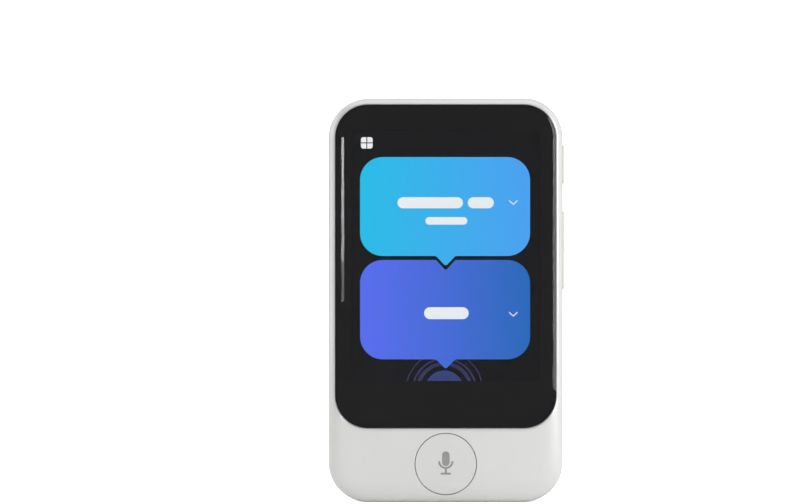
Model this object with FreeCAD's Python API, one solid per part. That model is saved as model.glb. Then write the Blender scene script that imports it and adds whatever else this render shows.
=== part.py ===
"""Handheld translator: a pebble-shaped pocket device with a glass front, a talk button and side keys.

Millimetres. X runs across the front, Y from the front (minus) to the back (plus), Z up.
The origin is under the middle of the body, on the surface that its flat bottom edge stands on.
"""

import FreeCAD, Part
import math
import os

# Outer body: overall size, corner radius, and the elliptical edges as (width, depth)
BODY_WIDTH = 53.1
BODY_HEIGHT = 91.6
BODY_DEPTH = 11.5
CORNER = 9.0
FRONT_EDGE = (4.5, 2.4)
BACK_EDGE = (8.0, 4.2)
SIDE_WALL = 1.3
CHIN_WALL = 1.6
BACK_WALL = 1.2
INNER_CLEAR = 0.15
HALF_WIDTH = BODY_WIDTH / 2
FRONT_Y = -BODY_DEPTH / 2
BACK_Y = BODY_DEPTH / 2

# The line of the keys, ports and card slot round the wall, and the seam in front of it
PORT_Y = -0.7
SEAM_Y = -3.1
SEAM_GROOVE = (0.12, 0.3)

# Tongue and snap catches behind the seam
TONGUE_Y = (SEAM_Y, SEAM_Y + 1.2)
TONGUE_ROOT_Y = -3.7
TONGUE_CLEAR = 0.05
TONGUE_WALL = 0.6
CATCH_Y = (SEAM_Y + 0.5, SEAM_Y + 0.9)
CATCH_LENGTH = 4.0
CATCH_PROUD = 0.2
CATCH_GAP = 0.08
CATCH_SIDE_Z = (28.0, 42.0)
CATCH_END_X = (-12.0, 12.0)

# Stiffening ribs inside the back wall
RIB_Y = (3.6, BACK_Y - BACK_WALL + 0.2)
RIB_THICK = 0.7
RIB_REACH = 16.0
RIB_Z = (32.0, 52.0)
RIB_X = (-12.0, 12.0)
RIB_RUN_Z = (28.0, 56.0)

# Cover glass, the ring round it and the ledge that they are glued to
RIM = 0.95
RING_WIDTH = 0.45
RING_GAP = 0.03
GLASS_THICK = 1.1
GLASS_BOTTOM = 16.72
GLASS_CORNER = 7.55
GLUE_THICK = 0.15
LEDGE_THICK = 0.8
GLASS_BACK_Y = FRONT_Y + GLASS_THICK
LEDGE_Y = (GLASS_BACK_Y + GLUE_THICK, GLASS_BACK_Y + GLUE_THICK + LEDGE_THICK)
GLASS_HALF = HALF_WIDTH - RIM - RING_WIDTH - RING_GAP
GLASS_TOP = BODY_HEIGHT - RIM - RING_WIDTH - RING_GAP
WINDOW_HALF = 23.3
WINDOW_Z = (18.7, 88.2)
WINDOW_CORNER = 3.5

# Display stack behind the glass
PANEL_HALF = 22.4
PANEL_Z = (25.7, 86.2)
PANEL_CORNER = 0.8
TOUCH_BORDER = 0.3
TOUCH_Y = (GLASS_BACK_Y, GLASS_BACK_Y + 0.15)
PANEL_Y = (TOUCH_Y[1], TOUCH_Y[1] + 0.65)
LAMP_Y = (PANEL_Y[1], PANEL_Y[1] + 0.75)
SHELF_THICK = 0.35
SHELF_Z = (22.5, 26.7)
CHIP_HALF = 9.0
CHIP_Z = (24.4, 25.3)

# Chassis plate
CHASSIS_Y = (-2.95, -2.45)
CHASSIS_HALF = 24.5
CHASSIS_Z = (2.05, 89.55)
CHASSIS_CORNER = 6.95
FENCE_WALL = 0.4
FENCE_GAP = 0.2
FENCE_BACK_Y = -1.2
FENCE_BREAK_HALF = 14.0
DISPLAY_SLOT = (8.1, (20.0, 21.5))
BUTTON_SLOT = (2.4, (16.2, 18.0))

# Talk button
BUTTON_Z = 8.77
BUTTON_RADIUS = 6.87
BUTTON_GAP = 0.17
BUTTON_WEB_Y = FRONT_Y + 1.5
BUTTON_SKIRT_Y = -3.8
BUTTON_SKIRT_WALL = 0.8
TAB_ANGLES = (35, 145, 215, 325)
TAB_REACH = (6.3, 7.6)
TAB_THICK = 0.25
TAB_WIDTH = 2.8
SYMBOL_DEPTH = 0.6
SYMBOL_SUNK = 0.05
SYMBOL_GAP = 0.01
PAD_RADIUS = 2.9
PAD_THICK = 0.2
PAD_NOSE_RADIUS = 1.1
BUTTON_BOARD_Y = (-3.45, -3.05)
BUTTON_BOARD_RADIUS = 5.6
BUTTON_BOARD_TAIL = (2.0, 17.4)
BUTTON_DOME = (2.0, 0.35)
PRESS_GAP = 0.02
BUTTON_LAMP_X = 3.6
BUTTON_LAMP = (1.0, 0.3, 0.6)

# Side keys on the right
KEY_WIDTH = 2.0
KEY_PROUD = 0.6
KEY_GAP = 0.1
KEY_EDGE = 0.3
KEY_ROOT_X = 24.9
KEY_FLANGE_X = (24.75, 25.15)
KEY_FLANGE_BORDER = 0.4
KEY_NOSE_RADIUS = 0.55
KEY_PIVOT = (25.0, 0.2)
POWER_Z = (72.3, 80.9)
POWER_FLANGE = 10.0
VOLUME_Z = (48.3, 66.0)
VOLUME_FLANGE = 5.2
VOLUME_NOSE = 6.0
POWER_MIDDLE = sum(POWER_Z) / 2
VOLUME_MIDDLE = sum(VOLUME_Z) / 2
DOME_X = (24.0, 24.33)
DOME_RADIUS = 0.95
FLEX_X = (23.8, DOME_X[0])
FLEX_STRIP = ((-1.65, 0.25), (49.0, 79.4))
FLEX_TAIL_X = 19.6
FLEX_TAIL_Y = (1.05, 1.2)
FLEX_TAIL_Z = (67.6, 70.4)
BRACKET_X = (23.5, FLEX_X[0])
BRACKET_Y = (CHASSIS_Y[1], 0.15)
BRACKET_Z = (48.6, 79.8)
BRACKET_FOOT_X = 21.6
BRACKET_FOOT_THICK = 0.3
BRACKET_FEET_Z = ((48.6, 52.6), (67.2, 71.2))

# Card tray on the left, its card and its reader
TRAY_Z = (66.0, 79.4)
TRAY_FACE_X = (0.02 - HALF_WIDTH, 1.1 - HALF_WIDTH)
TRAY_FACE_WIDTH = 2.2
TRAY_GAP = 0.06
TRAY_BODY_Z = (68.2, 78.8)
TRAY_END_X = -11.2
TRAY_END_RADIUS = 1.0
TRAY_THICK = 0.9
TRAY_RAIL = 0.8
CARD = (12.3, 0.67, 8.8)
CARD_NOTCH = 1.6
CARD_GAP = 0.04
CARD_X = (TRAY_END_X - 1.0 - CARD[0], TRAY_END_X - 1.0)
CARD_LOW_Y = PORT_Y - TRAY_THICK / 2
PIN_HOLE_Z = 67.1
PIN_HOLE_RADIUS = 0.45
SEAL_X = (-25.4, -24.9)
SEAL_BAND = 0.25
READER_X = (-23.8, -9.6)
READER_FRONT_Y = -1.4
READER_Z = (67.6, 79.4)
READER_CHANNEL_X = (-30.0, -10.0)
READER_GAP = 0.06
READER_WINDOW = ((-10.5, -9.0), (-1.0, -0.4), (73.1, 76.7))

# Eject rod and lever: a pin in the wall's hole pushes the rod, and the lever pushes the tray out
ROD_X = (-25.3, -9.4)
ROD_RADIUS = 0.34
ROD_NOSE_X = -9.0
ROD_NOSE_RADIUS = 0.14
LEVER_PIVOT = (-8.4, 70.0)
LEVER_Y = (-0.88, -0.52)
LEVER_ARM = ((-8.95, -7.95), (66.7, 76.1))
LEVER_TOE = ((-10.1, -8.3), (74.9, 76.1))
LEVER_HUB_RADIUS = 0.95
LEVER_BORE = 0.45
LEVER_PIN = (0.4, -1.15)
LEVER_PIN_HEAD = (0.8, (-1.3, -1.0))

# Main board and what stands on it, as spans of x, y and z
MAIN_BOARD_Y = (0.2, 1.0)
MAIN_BOARD_X = (-24.0, 23.0)
MAIN_BOARD_Z = (62.0, 88.9)
MAIN_BOARD_CORNER = 6.2
SHEET = 0.15
CAN_CORNER = 0.8
PROCESSOR_CAN = ((5.6, 18.6), (MAIN_BOARD_Y[0] - 1.35, MAIN_BOARD_Y[0]), (63.5, 86.3))
POWER_CAN = ((-6.6, 4.6), (MAIN_BOARD_Y[0] - 1.1, MAIN_BOARD_Y[0]), (63.5, 72.3))
RADIO_CAN = ((-19.5, -6.6), (MAIN_BOARD_Y[1], MAIN_BOARD_Y[1] + 1.4), (66.0, 82.6))
FRONT_CHIPS = [
    ((7.2, 17.2), 0.9, (74.0, 84.0)),
    ((7.2, 17.2), 0.8, (65.0, 71.5)),
    ((-5.2, -0.4), 0.7, (65.2, 70.0)),
    ((0.8, 3.4), 0.6, (66.0, 68.6)),
]
BACK_CHIPS = [
    ((-17.8, -12.0), 0.8, (75.0, 81.0)),
    ((-17.0, -9.0), 0.9, (67.6, 72.4)),
]

# Lower board: wide above the loudspeakers, narrow between them, cut out round the data port
LOW_BOARD_Y = (-1.1, -0.3)
LOW_BOARD_Z = (10.6, 22.4)
LOW_BOARD_HALF = 22.8
LOW_BOARD_CORNER = 1.0
LOW_NECK_HALF = 7.6
LOW_NECK_Z = 2.2
LOW_PORT_HALF = 4.65

# Battery, its tape and its lead
BATTERY_X = (-23.4, 20.4)
BATTERY_Y = (-2.25, 2.2)
BATTERY_Z = (24.0, 60.0)
BATTERY_EDGE = 0.9
BATTERY_CAP = (3.0, (-1.4, 0.8), 0.1)
TAPE_X = ((-21.5, -12.5), (9.0, 18.0))
TAPE_Z = (26.0, 58.0)
LEAD_X = (9.0, 14.0)
LEAD_THICK = 0.2

# Flat cables and their sockets
CABLE_THICK = 0.12
LINK_X = (-4.0, 6.0)
LINK_PATH = [(0.75, 13.0), (0.75, 17.8), (2.38, 21.2), (2.38, 60.4), (2.1, 62.6), (2.1, 65.2)]
LEAD_PATH = [(-0.3, 60.1), (-0.3, 60.9), (1.75, 61.3), (2.1, 62.0), (2.1, 65.2)]
DISPLAY_CABLE_HALF = 7.5
DISPLAY_PATH = [(-4.09, 23.6), (-4.09, 21.4), (-3.1, 20.75), (-2.35, 20.6), (-1.75, 20.0), (-1.75, 17.2)]
CAMERA_CABLE_X = (-4.0, -1.15)
CAMERA_PATH = [(-0.9, 79.0), (-0.9, 73.66), (1.6, 73.66), (2.15, 73.0), (2.15, 70.2)]
BUTTON_CABLE_HALF = 1.6
BUTTON_PATH = [(-3.2, 17.1), (-2.2, 17.1), (-1.9, 16.6), (-1.17, 15.4), (-1.17, 13.0)]
SOCKETS = {
    "battery": ((9.6, 13.4), (MAIN_BOARD_Y[1], 1.99), (62.6, 65.0)),
    "link, upper end": ((-3.4, 5.4), (MAIN_BOARD_Y[1], 2.03), (62.6, 65.0)),
    "link, lower end": ((-3.4, 5.4), (LOW_BOARD_Y[1], 0.68), (13.4, 16.4)),
    "camera": ((-3.8, -1.1), (MAIN_BOARD_Y[1], 2.08), (70.3, 72.2)),
    "display": ((-7.2, 7.2), (-1.68, LOW_BOARD_Y[0]), (17.4, 19.6)),
}

# Back camera and lamp
CAMERA_Z = 78.06
CAMERA_RADIUS = 3.42
CAMERA_RECESS_Y = 4.95
CAMERA_BORE = 2.65
CAMERA_CAN = (8.4, (-0.8, 2.6))
CAMERA_BOARD_HOLE = 9.2
CAMERA_FLOOR_Y = -0.2
BARREL_RADIUS = 2.5
BARREL_GAP = 0.1
BARREL_Y = (0.1, 4.2)
BARREL_CONE = (1.05, 1.9, 3.5)
ELEMENT_Y = (2.6, 3.0)
ELEMENT_BULGE = 0.35
GASKET = (4.0, 3.0, (2.6, 4.5))
RING_BAND = 0.25
LAMP_Z = 70.8
LAMP_RADIUS = 1.62
LAMP_RECESS_Y = 5.0
LAMP_BORE = 1.05
LAMP_PIPE = (0.95, 1.9)
LAMP_CHIP = (1.9, 1.75)

# Data port in the bottom edge
PORT_SIZE = (8.94, 3.16)
PORT_SHEET = 0.3
PORT_GAP = 0.12
PORT_Z = (0.3, 7.6)
PORT_MOUTH_END = 6.7
PORT_TONGUE = (6.69, 0.7, (1.0, 6.0))
PORT_BASE_Z = (5.6, PORT_MOUTH_END)
CONTACT_COUNT = 12
CONTACT_PITCH = 0.5
CONTACT = (0.25, 0.04, (1.35, 5.6))
PORT_SEAL = (9.9, 4.1, (1.32, 1.85))

# Sound openings in the bottom and top edges
SOUND_HOLE_RADIUS = 0.55
SOUND_HOLE_START = 8.4
SOUND_HOLE_PITCH = 1.8
SOUND_HOLE_COUNT = 5
MIC_HOLE_RADIUS = 0.4
LOW_MIC_X = 6.4
TOP_MIC_X = 9.0
LOW_MIC = (2.2, 0.9, (2.3, 5.6))
TOP_MIC = (2.6, 0.95, (86.6, 88.8))
LOW_BOOT = ((5.55, 7.5), (-1.75, -0.1), (1.45, 2.18))
TOP_BOOT = ((7.7, 10.3), (-1.7, 0.1), (88.85, 90.28))
MESH_BAND = ((7.7, 16.4), (-1.6, 0.2), (1.31, 1.43))

# Loudspeakers in the lower corners
SPEAKER_BOX = ((7.9, 25.0), (-1.85, 2.6), (1.5, 10.3))
CONE_X = 15.5
CONE_Z = 5.9
CONE_SIZE = (10.6, 6.0)
CONE_CAP = (6.0, 3.0)
CONE_BORDER = 0.4
CONE_Y = (2.35, 2.45)
CONE_CAP_Y = 2.52

# Antenna and its carrier under the top edge
CARRIER_HALF = 17.6
CARRIER_Y = (1.9, 3.6)
CARRIER_Z = (83.4, 90.0)
CARRIER_LEG = 1.6
CARRIER_LEG_Z = (83.4, 87.6)
CARRIER_EAR = (1.6, 0.6, 3.0)
ANTENNA_THICK = 0.04
ANTENNA_BAR = ((-15.0, 15.0), (83.8, 84.5))
ANTENNA_FINGERS_X = (-14.5, -5.0, 5.0, 14.5)
ANTENNA_FINGER = (1.0, (84.2, 85.9))

# Screws, at (x, z)
CHASSIS_SCREWS = [(-19.8, 87.6), (19.8, 87.6), (-20.5, 16.4), (20.5, 16.4), (-21.0, 5.6), (21.0, 5.6)]
CARRIER_SCREWS = [(-20.5, 84.5), (20.6, 84.9)]
BOARD_SCREWS = [(-21.5, 63.6), (20.6, 63.9)]
LOW_SCREWS = [(-20.6, 12.6), (20.6, 12.6)]
SCREW_RADIUS = 0.68
SCREW_HEAD = (1.2, 0.42)
SCREW_CROSS = (0.28, 1.3, 0.25)
THREAD_RADIUS = 0.7
SCREW_HOLE = 0.75
POST_RADIUS = 1.2
POST_Y = (-4.3, CHASSIS_Y[0])
BOSS_RADIUS = 1.5

# Longer than anything here, for cuts that go right through
FAR = 60.0
EVERYWHERE = (-2 * FAR, 2 * FAR)
SPOT = FreeCAD.Vector


def centred(middle, size):
    """The span of this size about its middle."""
    return (middle - size / 2, middle + size / 2)


def on_side(side, span):
    """A span of x on the right (side 1), or its mirror image on the left (side -1)."""
    return tuple(sorted((side * span[0], side * span[1])))


def block(x, y, z):
    """A box from three spans."""
    return Part.makeBox(x[1] - x[0], y[1] - y[0], z[1] - z[0], SPOT(x[0], y[0], z[0]))


def disc_x(y, z, radius, x):
    """A round bar along X."""
    return Part.makeCylinder(radius, x[1] - x[0], SPOT(x[0], y, z), SPOT(1, 0, 0))


def disc_y(x, z, radius, y):
    """A round bar along Y."""
    return Part.makeCylinder(radius, y[1] - y[0], SPOT(x, y[0], z), SPOT(0, 1, 0))


def disc_z(x, y, radius, z):
    """A round bar along Z."""
    return Part.makeCylinder(radius, z[1] - z[0], SPOT(x, y, z[0]), SPOT(0, 0, 1))


def rounded(first, second, corner, place):
    """The wire of a rounded rectangle; place turns its two coordinates into a point."""
    (a0, a1), (b0, b1) = first, second
    corner = min(corner, (a1 - a0) / 2 - 0.001, (b1 - b0) / 2 - 0.001)
    diagonal = corner * math.sqrt(0.5)
    centres = [(a1 - corner, b1 - corner), (a0 + corner, b1 - corner),
               (a0 + corner, b0 + corner), (a1 - corner, b0 + corner)]
    turns = [(1, 0), (0, 1), (-1, 0), (0, -1), (1, 0)]
    arcs = []
    for n, (a, b) in enumerate(centres):
        (u, v), (s, t) = turns[n], turns[n + 1]
        arcs.append((place(a + corner * u, b + corner * v),
                     place(a + diagonal * (u + s), b + diagonal * (v + t)),
                     place(a + corner * s, b + corner * t)))
    edges = []
    for n, (start, middle, end) in enumerate(arcs):
        edges.append(Part.Arc(start, middle, end).toShape())
        edges.append(Part.makeLine(end, arcs[(n + 1) % 4][0]))
    return Part.Wire(edges)


def plate_x(y, z, corner, x):
    """A rounded rectangle seen from the side, as thick as the span x."""
    wire = rounded(y, z, corner, lambda a, b: SPOT(x[0], a, b))
    return Part.Face(wire).extrude(SPOT(x[1] - x[0], 0, 0))


def plate_y(x, z, corner, y):
    """A rounded rectangle seen from the front, as thick as the span y."""
    wire = rounded(x, z, corner, lambda a, b: SPOT(a, y[0], b))
    return Part.Face(wire).extrude(SPOT(0, y[1] - y[0], 0))


def plate_z(x, y, corner, z):
    """A rounded rectangle seen from above, as thick as the span z."""
    wire = rounded(x, y, corner, lambda a, b: SPOT(a, b, z[0]))
    return Part.Face(wire).extrude(SPOT(0, 0, z[1] - z[0]))


def joined(pieces):
    """Several solids that belong to one sub-part, kept apart."""
    return Part.makeCompound(pieces)


def fused(pieces):
    """Several overlapping shapes as one solid."""
    return pieces[0].multiFuse(pieces[1:]).removeSplitter()


def dome(place, direction, radius, height):
    """A low spherical cap standing on place, along direction."""
    ball = (radius ** 2 + height ** 2) / (2 * height)
    sphere = Part.makeSphere(ball, place - direction * (ball - height))
    return sphere.common(Part.makeCylinder(radius, height, place, direction))


def ribbon(points, thick, x):
    """A flat cable as wide as the span x; points are (y, z) along the middle of its thickness."""
    runs = []
    for (y0, z0), (y1, z1) in zip(points, points[1:]):
        scale = thick / 2 / math.hypot(y1 - y0, z1 - z0)
        over, up = -(z1 - z0) * scale, (y1 - y0) * scale
        ring = [SPOT(x[0], y0 + over, z0 + up), SPOT(x[0], y1 + over, z1 + up),
                SPOT(x[0], y1 - over, z1 - up), SPOT(x[0], y0 - over, z0 - up)]
        face = Part.Face(Part.makePolygon(ring + ring[:1]))
        runs.append(face.extrude(SPOT(x[1] - x[0], 0, 0)))
    folds = [disc_x(y, z, thick / 2, x) for y, z in points[1:-1]]
    return fused(runs + folds)


def quarter_ellipse(centre, wide, deep):
    """A quarter ellipse from centre + wide to centre + deep."""
    ellipse = Part.Ellipse(centre + wide, centre + deep, centre)
    return Part.ArcOfEllipse(ellipse, 0, math.pi / 2).toShape()


def edge_section(reach, y, front, back, place):
    """Half a cross-section: flat front, elliptical front edge, wall, elliptical back edge, flat back."""
    low, high = y

    def along(a, b):
        return place(a, b) - place(0, 0)

    edges = [
        Part.makeLine(place(0, low), place(reach - front[0], low)),
        quarter_ellipse(place(reach - front[0], low + front[1]), along(front[0], 0), along(0, -front[1])),
        Part.makeLine(place(reach, low + front[1]), place(reach, high - back[1])),
        quarter_ellipse(place(reach - back[0], high - back[1]), along(back[0], 0), along(0, back[1])),
        Part.makeLine(place(reach - back[0], high), place(0, high)),
        Part.makeLine(place(0, high), place(0, low)),
    ]
    return Part.Face(Part.Wire(Part.__sortEdges__(edges)))


def pebble(inset, y, front, back):
    """The body's outline drawn in by inset, with elliptical front and back edges, (width, depth) each."""
    corner = CORNER - inset
    middle = HALF_WIDTH - CORNER
    levels = ((-1, CORNER), (1, BODY_HEIGHT - CORNER))
    pieces = []
    for side in (-1, 1):
        wall = edge_section(HALF_WIDTH - inset, y, front, back, lambda a, b: SPOT(side * a, b, CORNER))
        pieces.append(wall.extrude(SPOT(0, 0, BODY_HEIGHT - 2 * CORNER)))
        for up, level in levels:
            turn = edge_section(corner, y, front, back, lambda a, b: SPOT(side * (middle + a), b, level))
            pieces.append(turn.revolve(SPOT(side * middle, 0, level), SPOT(0, 1, 0), -90 * side * up))
    for up, level in levels:
        end = edge_section(corner, y, front, back, lambda a, b: SPOT(-middle, b, level + up * a))
        pieces.append(end.extrude(SPOT(2 * middle, 0, 0)))
    return fused(pieces)


def outer_form():
    """The whole body's outside."""
    return pebble(0, (FRONT_Y, BACK_Y), FRONT_EDGE, BACK_EDGE)


def inner_form(clear=0.0):
    """The room inside the walls, drawn in by clear for what stands in it."""
    inset = SIDE_WALL + clear
    y = (FRONT_Y + CHIN_WALL + clear / 2, BACK_Y - BACK_WALL - clear)
    front = (FRONT_EDGE[0] - inset, FRONT_EDGE[1] - CHIN_WALL - clear / 2)
    back = (BACK_EDGE[0] - inset, BACK_EDGE[1] - BACK_WALL - clear)
    return pebble(inset, y, front, back)


def outline_plate(inset, y):
    """The body's outline drawn in by inset, as a plate over the span y."""
    return plate_y((inset - HALF_WIDTH, HALF_WIDTH - inset), (inset, BODY_HEIGHT - inset), CORNER - inset, y)


def glass_plate(grow, y):
    """A plate with the glass's outline, grown by this much."""
    x = (-GLASS_HALF - grow, GLASS_HALF + grow)
    return plate_y(x, (GLASS_BOTTOM - grow, GLASS_TOP + grow), GLASS_CORNER + grow, y)


def cover_glass(form):
    """The front glass, whose rounded edges carry on the body's own curve."""
    return form.common(glass_plate(0, (-FAR, GLASS_BACK_Y)))


def glass_trim_ring(form):
    """The narrow bright ring between the glass and the front housing."""
    outside = glass_plate(RING_GAP + RING_WIDTH, (-FAR, LEDGE_Y[0]))
    return form.common(outside).cut(glass_plate(RING_GAP, EVERYWHERE))


def window_plate(y):
    """The hole in the ledge that the display fills."""
    return plate_y((-WINDOW_HALF, WINDOW_HALF), WINDOW_Z, WINDOW_CORNER, y)


def glass_adhesive():
    """The double-sided tape between the glass and the ledge."""
    return glass_plate(-0.1, (GLASS_BACK_Y, LEDGE_Y[0])).cut(window_plate(EVERYWHERE))


def touch_sensor():
    """The clear touch film on the glass's back."""
    x = (-PANEL_HALF - TOUCH_BORDER, PANEL_HALF + TOUCH_BORDER)
    z = (SHELF_Z[0] - TOUCH_BORDER, PANEL_Z[1] + TOUCH_BORDER)
    return plate_y(x, z, PANEL_CORNER + TOUCH_BORDER, TOUCH_Y)


def lcd_panel():
    """The display's glass, with a thinner shelf below it for the drive chip."""
    panel = plate_y((-PANEL_HALF, PANEL_HALF), PANEL_Z, PANEL_CORNER, PANEL_Y)
    shelf_back = PANEL_Y[0] + SHELF_THICK
    shelf = block((-PANEL_HALF, PANEL_HALF), (PANEL_Y[0], shelf_back), SHELF_Z)
    chip = block((-CHIP_HALF, CHIP_HALF), (shelf_back - 0.05, shelf_back + 0.25), CHIP_Z)
    return fused([panel, shelf, chip])


def backlight_unit():
    """The light guide and its frame behind the panel."""
    return plate_y((-PANEL_HALF, PANEL_HALF), PANEL_Z, PANEL_CORNER, LAMP_Y)


def tongue():
    """The lip behind the seam that the back cover slips over, broken where keys and ports pass."""
    root = outline_plate(SIDE_WALL - TONGUE_CLEAR, (TONGUE_ROOT_Y, SEAM_Y))
    lip = outline_plate(SIDE_WALL + TONGUE_CLEAR, TONGUE_Y)
    hollow = outline_plate(SIDE_WALL + TONGUE_CLEAR + TONGUE_WALL, EVERYWHERE)
    key_break = block((CHASSIS_HALF - 4, FAR), TONGUE_Y, (VOLUME_Z[0] - 1.5, POWER_Z[1] + 1.5))
    tray_break = block((-FAR, 4 - CHASSIS_HALF), TONGUE_Y, (TRAY_Z[0] - 1, TRAY_Z[1] + 1))
    port_break = block(centred(0, PORT_SEAL[0] + 1), TONGUE_Y, (0, 5))
    return root.fuse(lip.cut(joined([key_break, tray_break, port_break]))).cut(hollow)


def snap_catches(grow):
    """Small ridges on the tongue that hold the back cover; grown, they give their pockets in it."""
    inward = 0.3
    along = CATCH_LENGTH + 2 * grow
    y = (CATCH_Y[0] - grow, CATCH_Y[1] + grow)
    wall = HALF_WIDTH - SIDE_WALL
    across = (wall - inward, wall + CATCH_PROUD + grow)
    catches = [block(on_side(side, across), y, centred(z, along)) for z in CATCH_SIDE_Z for side in (-1, 1)]
    bottom = (SIDE_WALL - CATCH_PROUD - grow, SIDE_WALL + inward)
    for z in (bottom, (BODY_HEIGHT - bottom[1], BODY_HEIGHT - bottom[0])):
        catches += [block(centred(x, along), y, z) for x in CATCH_END_X]
    return joined(catches)


def seam_groove():
    """The shadow line at the seam, just in front of it."""
    wide, deep = SEAM_GROOVE
    band = block(EVERYWHERE, (SEAM_Y - wide, SEAM_Y), EVERYWHERE)
    return band.cut(outline_plate(deep, EVERYWHERE))


def front_housing(form, room):
    """Chin, narrow rim, glass ledge, tongue, catches and screw posts."""
    shell = form.common(block(EVERYWHERE, (-FAR, SEAM_Y), EVERYWHERE)).cut(room).cut(seam_groove())
    ledge = outline_plate(SIDE_WALL - TONGUE_CLEAR, (LEDGE_Y[1] - 0.5, LEDGE_Y[1]))
    ledge = ledge.common(block(EVERYWHERE, EVERYWHERE, (GLASS_BOTTOM - 2, FAR * 2)))
    posts = [disc_y(x, z, POST_RADIUS, POST_Y) for x, z in CHASSIS_SCREWS]
    shell = fused([shell, ledge, tongue()] + posts)
    shell = shell.cut(window_plate((-FAR, LEDGE_Y[1] + 0.01))).fuse(snap_catches(0))
    shell = shell.cut(glass_plate(RING_GAP + RING_WIDTH, (-FAR, LEDGE_Y[0])))
    button = disc_y(0, BUTTON_Z, BUTTON_RADIUS + BUTTON_GAP, (-FAR, SEAM_Y))
    bores = [disc_y(x, z, THREAD_RADIUS, (POST_Y[0], FAR)) for x, z in CHASSIS_SCREWS]
    return shell.cut(joined([button] + bores))


def sound_holes():
    """The rows of loudspeaker holes either side of the port, and the two microphone holes."""
    low, high = (-1, SIDE_WALL + 1), (BODY_HEIGHT - SIDE_WALL - 1, BODY_HEIGHT + 1)
    holes = [disc_z(LOW_MIC_X, PORT_Y, MIC_HOLE_RADIUS, low), disc_z(TOP_MIC_X, PORT_Y, MIC_HOLE_RADIUS, high)]
    for n in range(SOUND_HOLE_COUNT):
        x = SOUND_HOLE_START + n * SOUND_HOLE_PITCH
        holes += [disc_z(side * x, PORT_Y, SOUND_HOLE_RADIUS, low) for side in (-1, 1)]
    return holes


def wall_slots():
    """The openings for the side keys, the card tray and the data port."""
    right, left = (KEY_ROOT_X - 1, HALF_WIDTH + 1), (-HALF_WIDTH - 1, 1 - KEY_ROOT_X)
    key_y = centred(PORT_Y, KEY_WIDTH + 2 * KEY_GAP)
    keys = [plate_x(key_y, (low - KEY_GAP, high + KEY_GAP), FAR, right) for low, high in (POWER_Z, VOLUME_Z)]
    tray_y = centred(PORT_Y, TRAY_FACE_WIDTH + 2 * TRAY_GAP)
    tray = plate_x(tray_y, (TRAY_Z[0] - TRAY_GAP, TRAY_Z[1] + TRAY_GAP), FAR, left)
    wide, deep = (size + 2 * PORT_GAP for size in PORT_SIZE)
    port = plate_z(centred(0, wide), centred(PORT_Y, deep), FAR, (-1, SIDE_WALL + 1))
    return keys + [tray, port]


def rear_cover(form, room):
    """The deep back shell that carries every opening in the side wall."""
    shell = form.common(block(EVERYWHERE, (SEAM_Y, FAR), EVERYWHERE)).cut(room)
    stepped_holes = [
        disc_y(0, CAMERA_Z, CAMERA_RADIUS + 0.04, (CAMERA_RECESS_Y, FAR)),
        disc_y(0, CAMERA_Z, CAMERA_BORE, (0, FAR)),
        disc_y(0, LAMP_Z, LAMP_RADIUS + 0.06, (LAMP_RECESS_Y, FAR)),
        disc_y(0, LAMP_Z, LAMP_BORE, (0, FAR)),
    ]
    for opening in [snap_catches(CATCH_GAP)] + wall_slots() + sound_holes() + stepped_holes:
        shell = shell.cut(opening)
    ribs = [block((-RIB_REACH, RIB_REACH), RIB_Y, centred(z, RIB_THICK)) for z in RIB_Z]
    ribs += [block(centred(x, RIB_THICK), RIB_Y, RIB_RUN_Z) for x in RIB_X]
    return fused([shell] + ribs)


def symbol_pieces(gap, y):
    """A plain microphone sign: a capsule in a cup, on a stem and foot. gap shrinks it in its recess."""
    middle = BUTTON_Z + 0.65
    capsule = plate_y(centred(0, 1.7 - 2 * gap), centred(middle + 0.55, 3.3 - 2 * gap), 0.85 - gap, y)
    cup = disc_y(0, middle, 1.75 - gap, y).cut(disc_y(0, middle, 1.3 + gap, EVERYWHERE))
    cup = cup.common(block((-FAR, FAR), EVERYWHERE, (-FAR, middle)))
    stem = block(centred(0, 0.45 - 2 * gap), y, (middle - 2.8, middle - 1.5 - gap))
    foot = block(centred(0, 2.3 - 2 * gap), y, (middle - 3.05 + gap, middle - 2.6 - gap))
    return [capsule, fused([cup, stem, foot])]


def translate_button(form):
    """The round cap: its face follows the housing's curve, and four tabs keep it in."""
    cap = form.common(disc_y(0, BUTTON_Z, BUTTON_RADIUS, (-FAR, BUTTON_WEB_Y)))
    skirt = disc_y(0, BUTTON_Z, BUTTON_RADIUS, (BUTTON_WEB_Y, BUTTON_SKIRT_Y))
    skirt = skirt.cut(disc_y(0, BUTTON_Z, BUTTON_RADIUS - BUTTON_SKIRT_WALL, EVERYWHERE))
    tabs = []
    for angle in TAB_ANGLES:
        tab = block(TAB_REACH, (BUTTON_SKIRT_Y - TAB_THICK, BUTTON_SKIRT_Y), centred(0, TAB_WIDTH))
        tab.rotate(SPOT(0, 0, 0), SPOT(0, 1, 0), -angle)
        tab.translate(SPOT(0, 0, BUTTON_Z))
        tabs.append(tab)
    return fused([cap, skirt] + tabs).cut(joined(symbol_pieces(0.0, (-FAR, FRONT_Y + SYMBOL_DEPTH))))


def button_symbol():
    """The grey light window that fills the sign cut into the cap."""
    return joined(symbol_pieces(SYMBOL_GAP, (FRONT_Y + SYMBOL_SUNK, FRONT_Y + SYMBOL_DEPTH)))


def button_pad():
    """The soft pad under the cap, whose nose presses the dome."""
    disc = disc_y(0, BUTTON_Z, PAD_RADIUS, (BUTTON_WEB_Y, BUTTON_WEB_Y + PAD_THICK))
    dome_top = BUTTON_BOARD_Y[0] - BUTTON_DOME[1]
    return disc.fuse(disc_y(0, BUTTON_Z, PAD_NOSE_RADIUS, (BUTTON_WEB_Y, dome_top - PRESS_GAP)))


def translate_dome():
    """The snap dome on the button board."""
    return dome(SPOT(0, BUTTON_BOARD_Y[0], BUTTON_Z), SPOT(0, -1, 0), *BUTTON_DOME)


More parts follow.
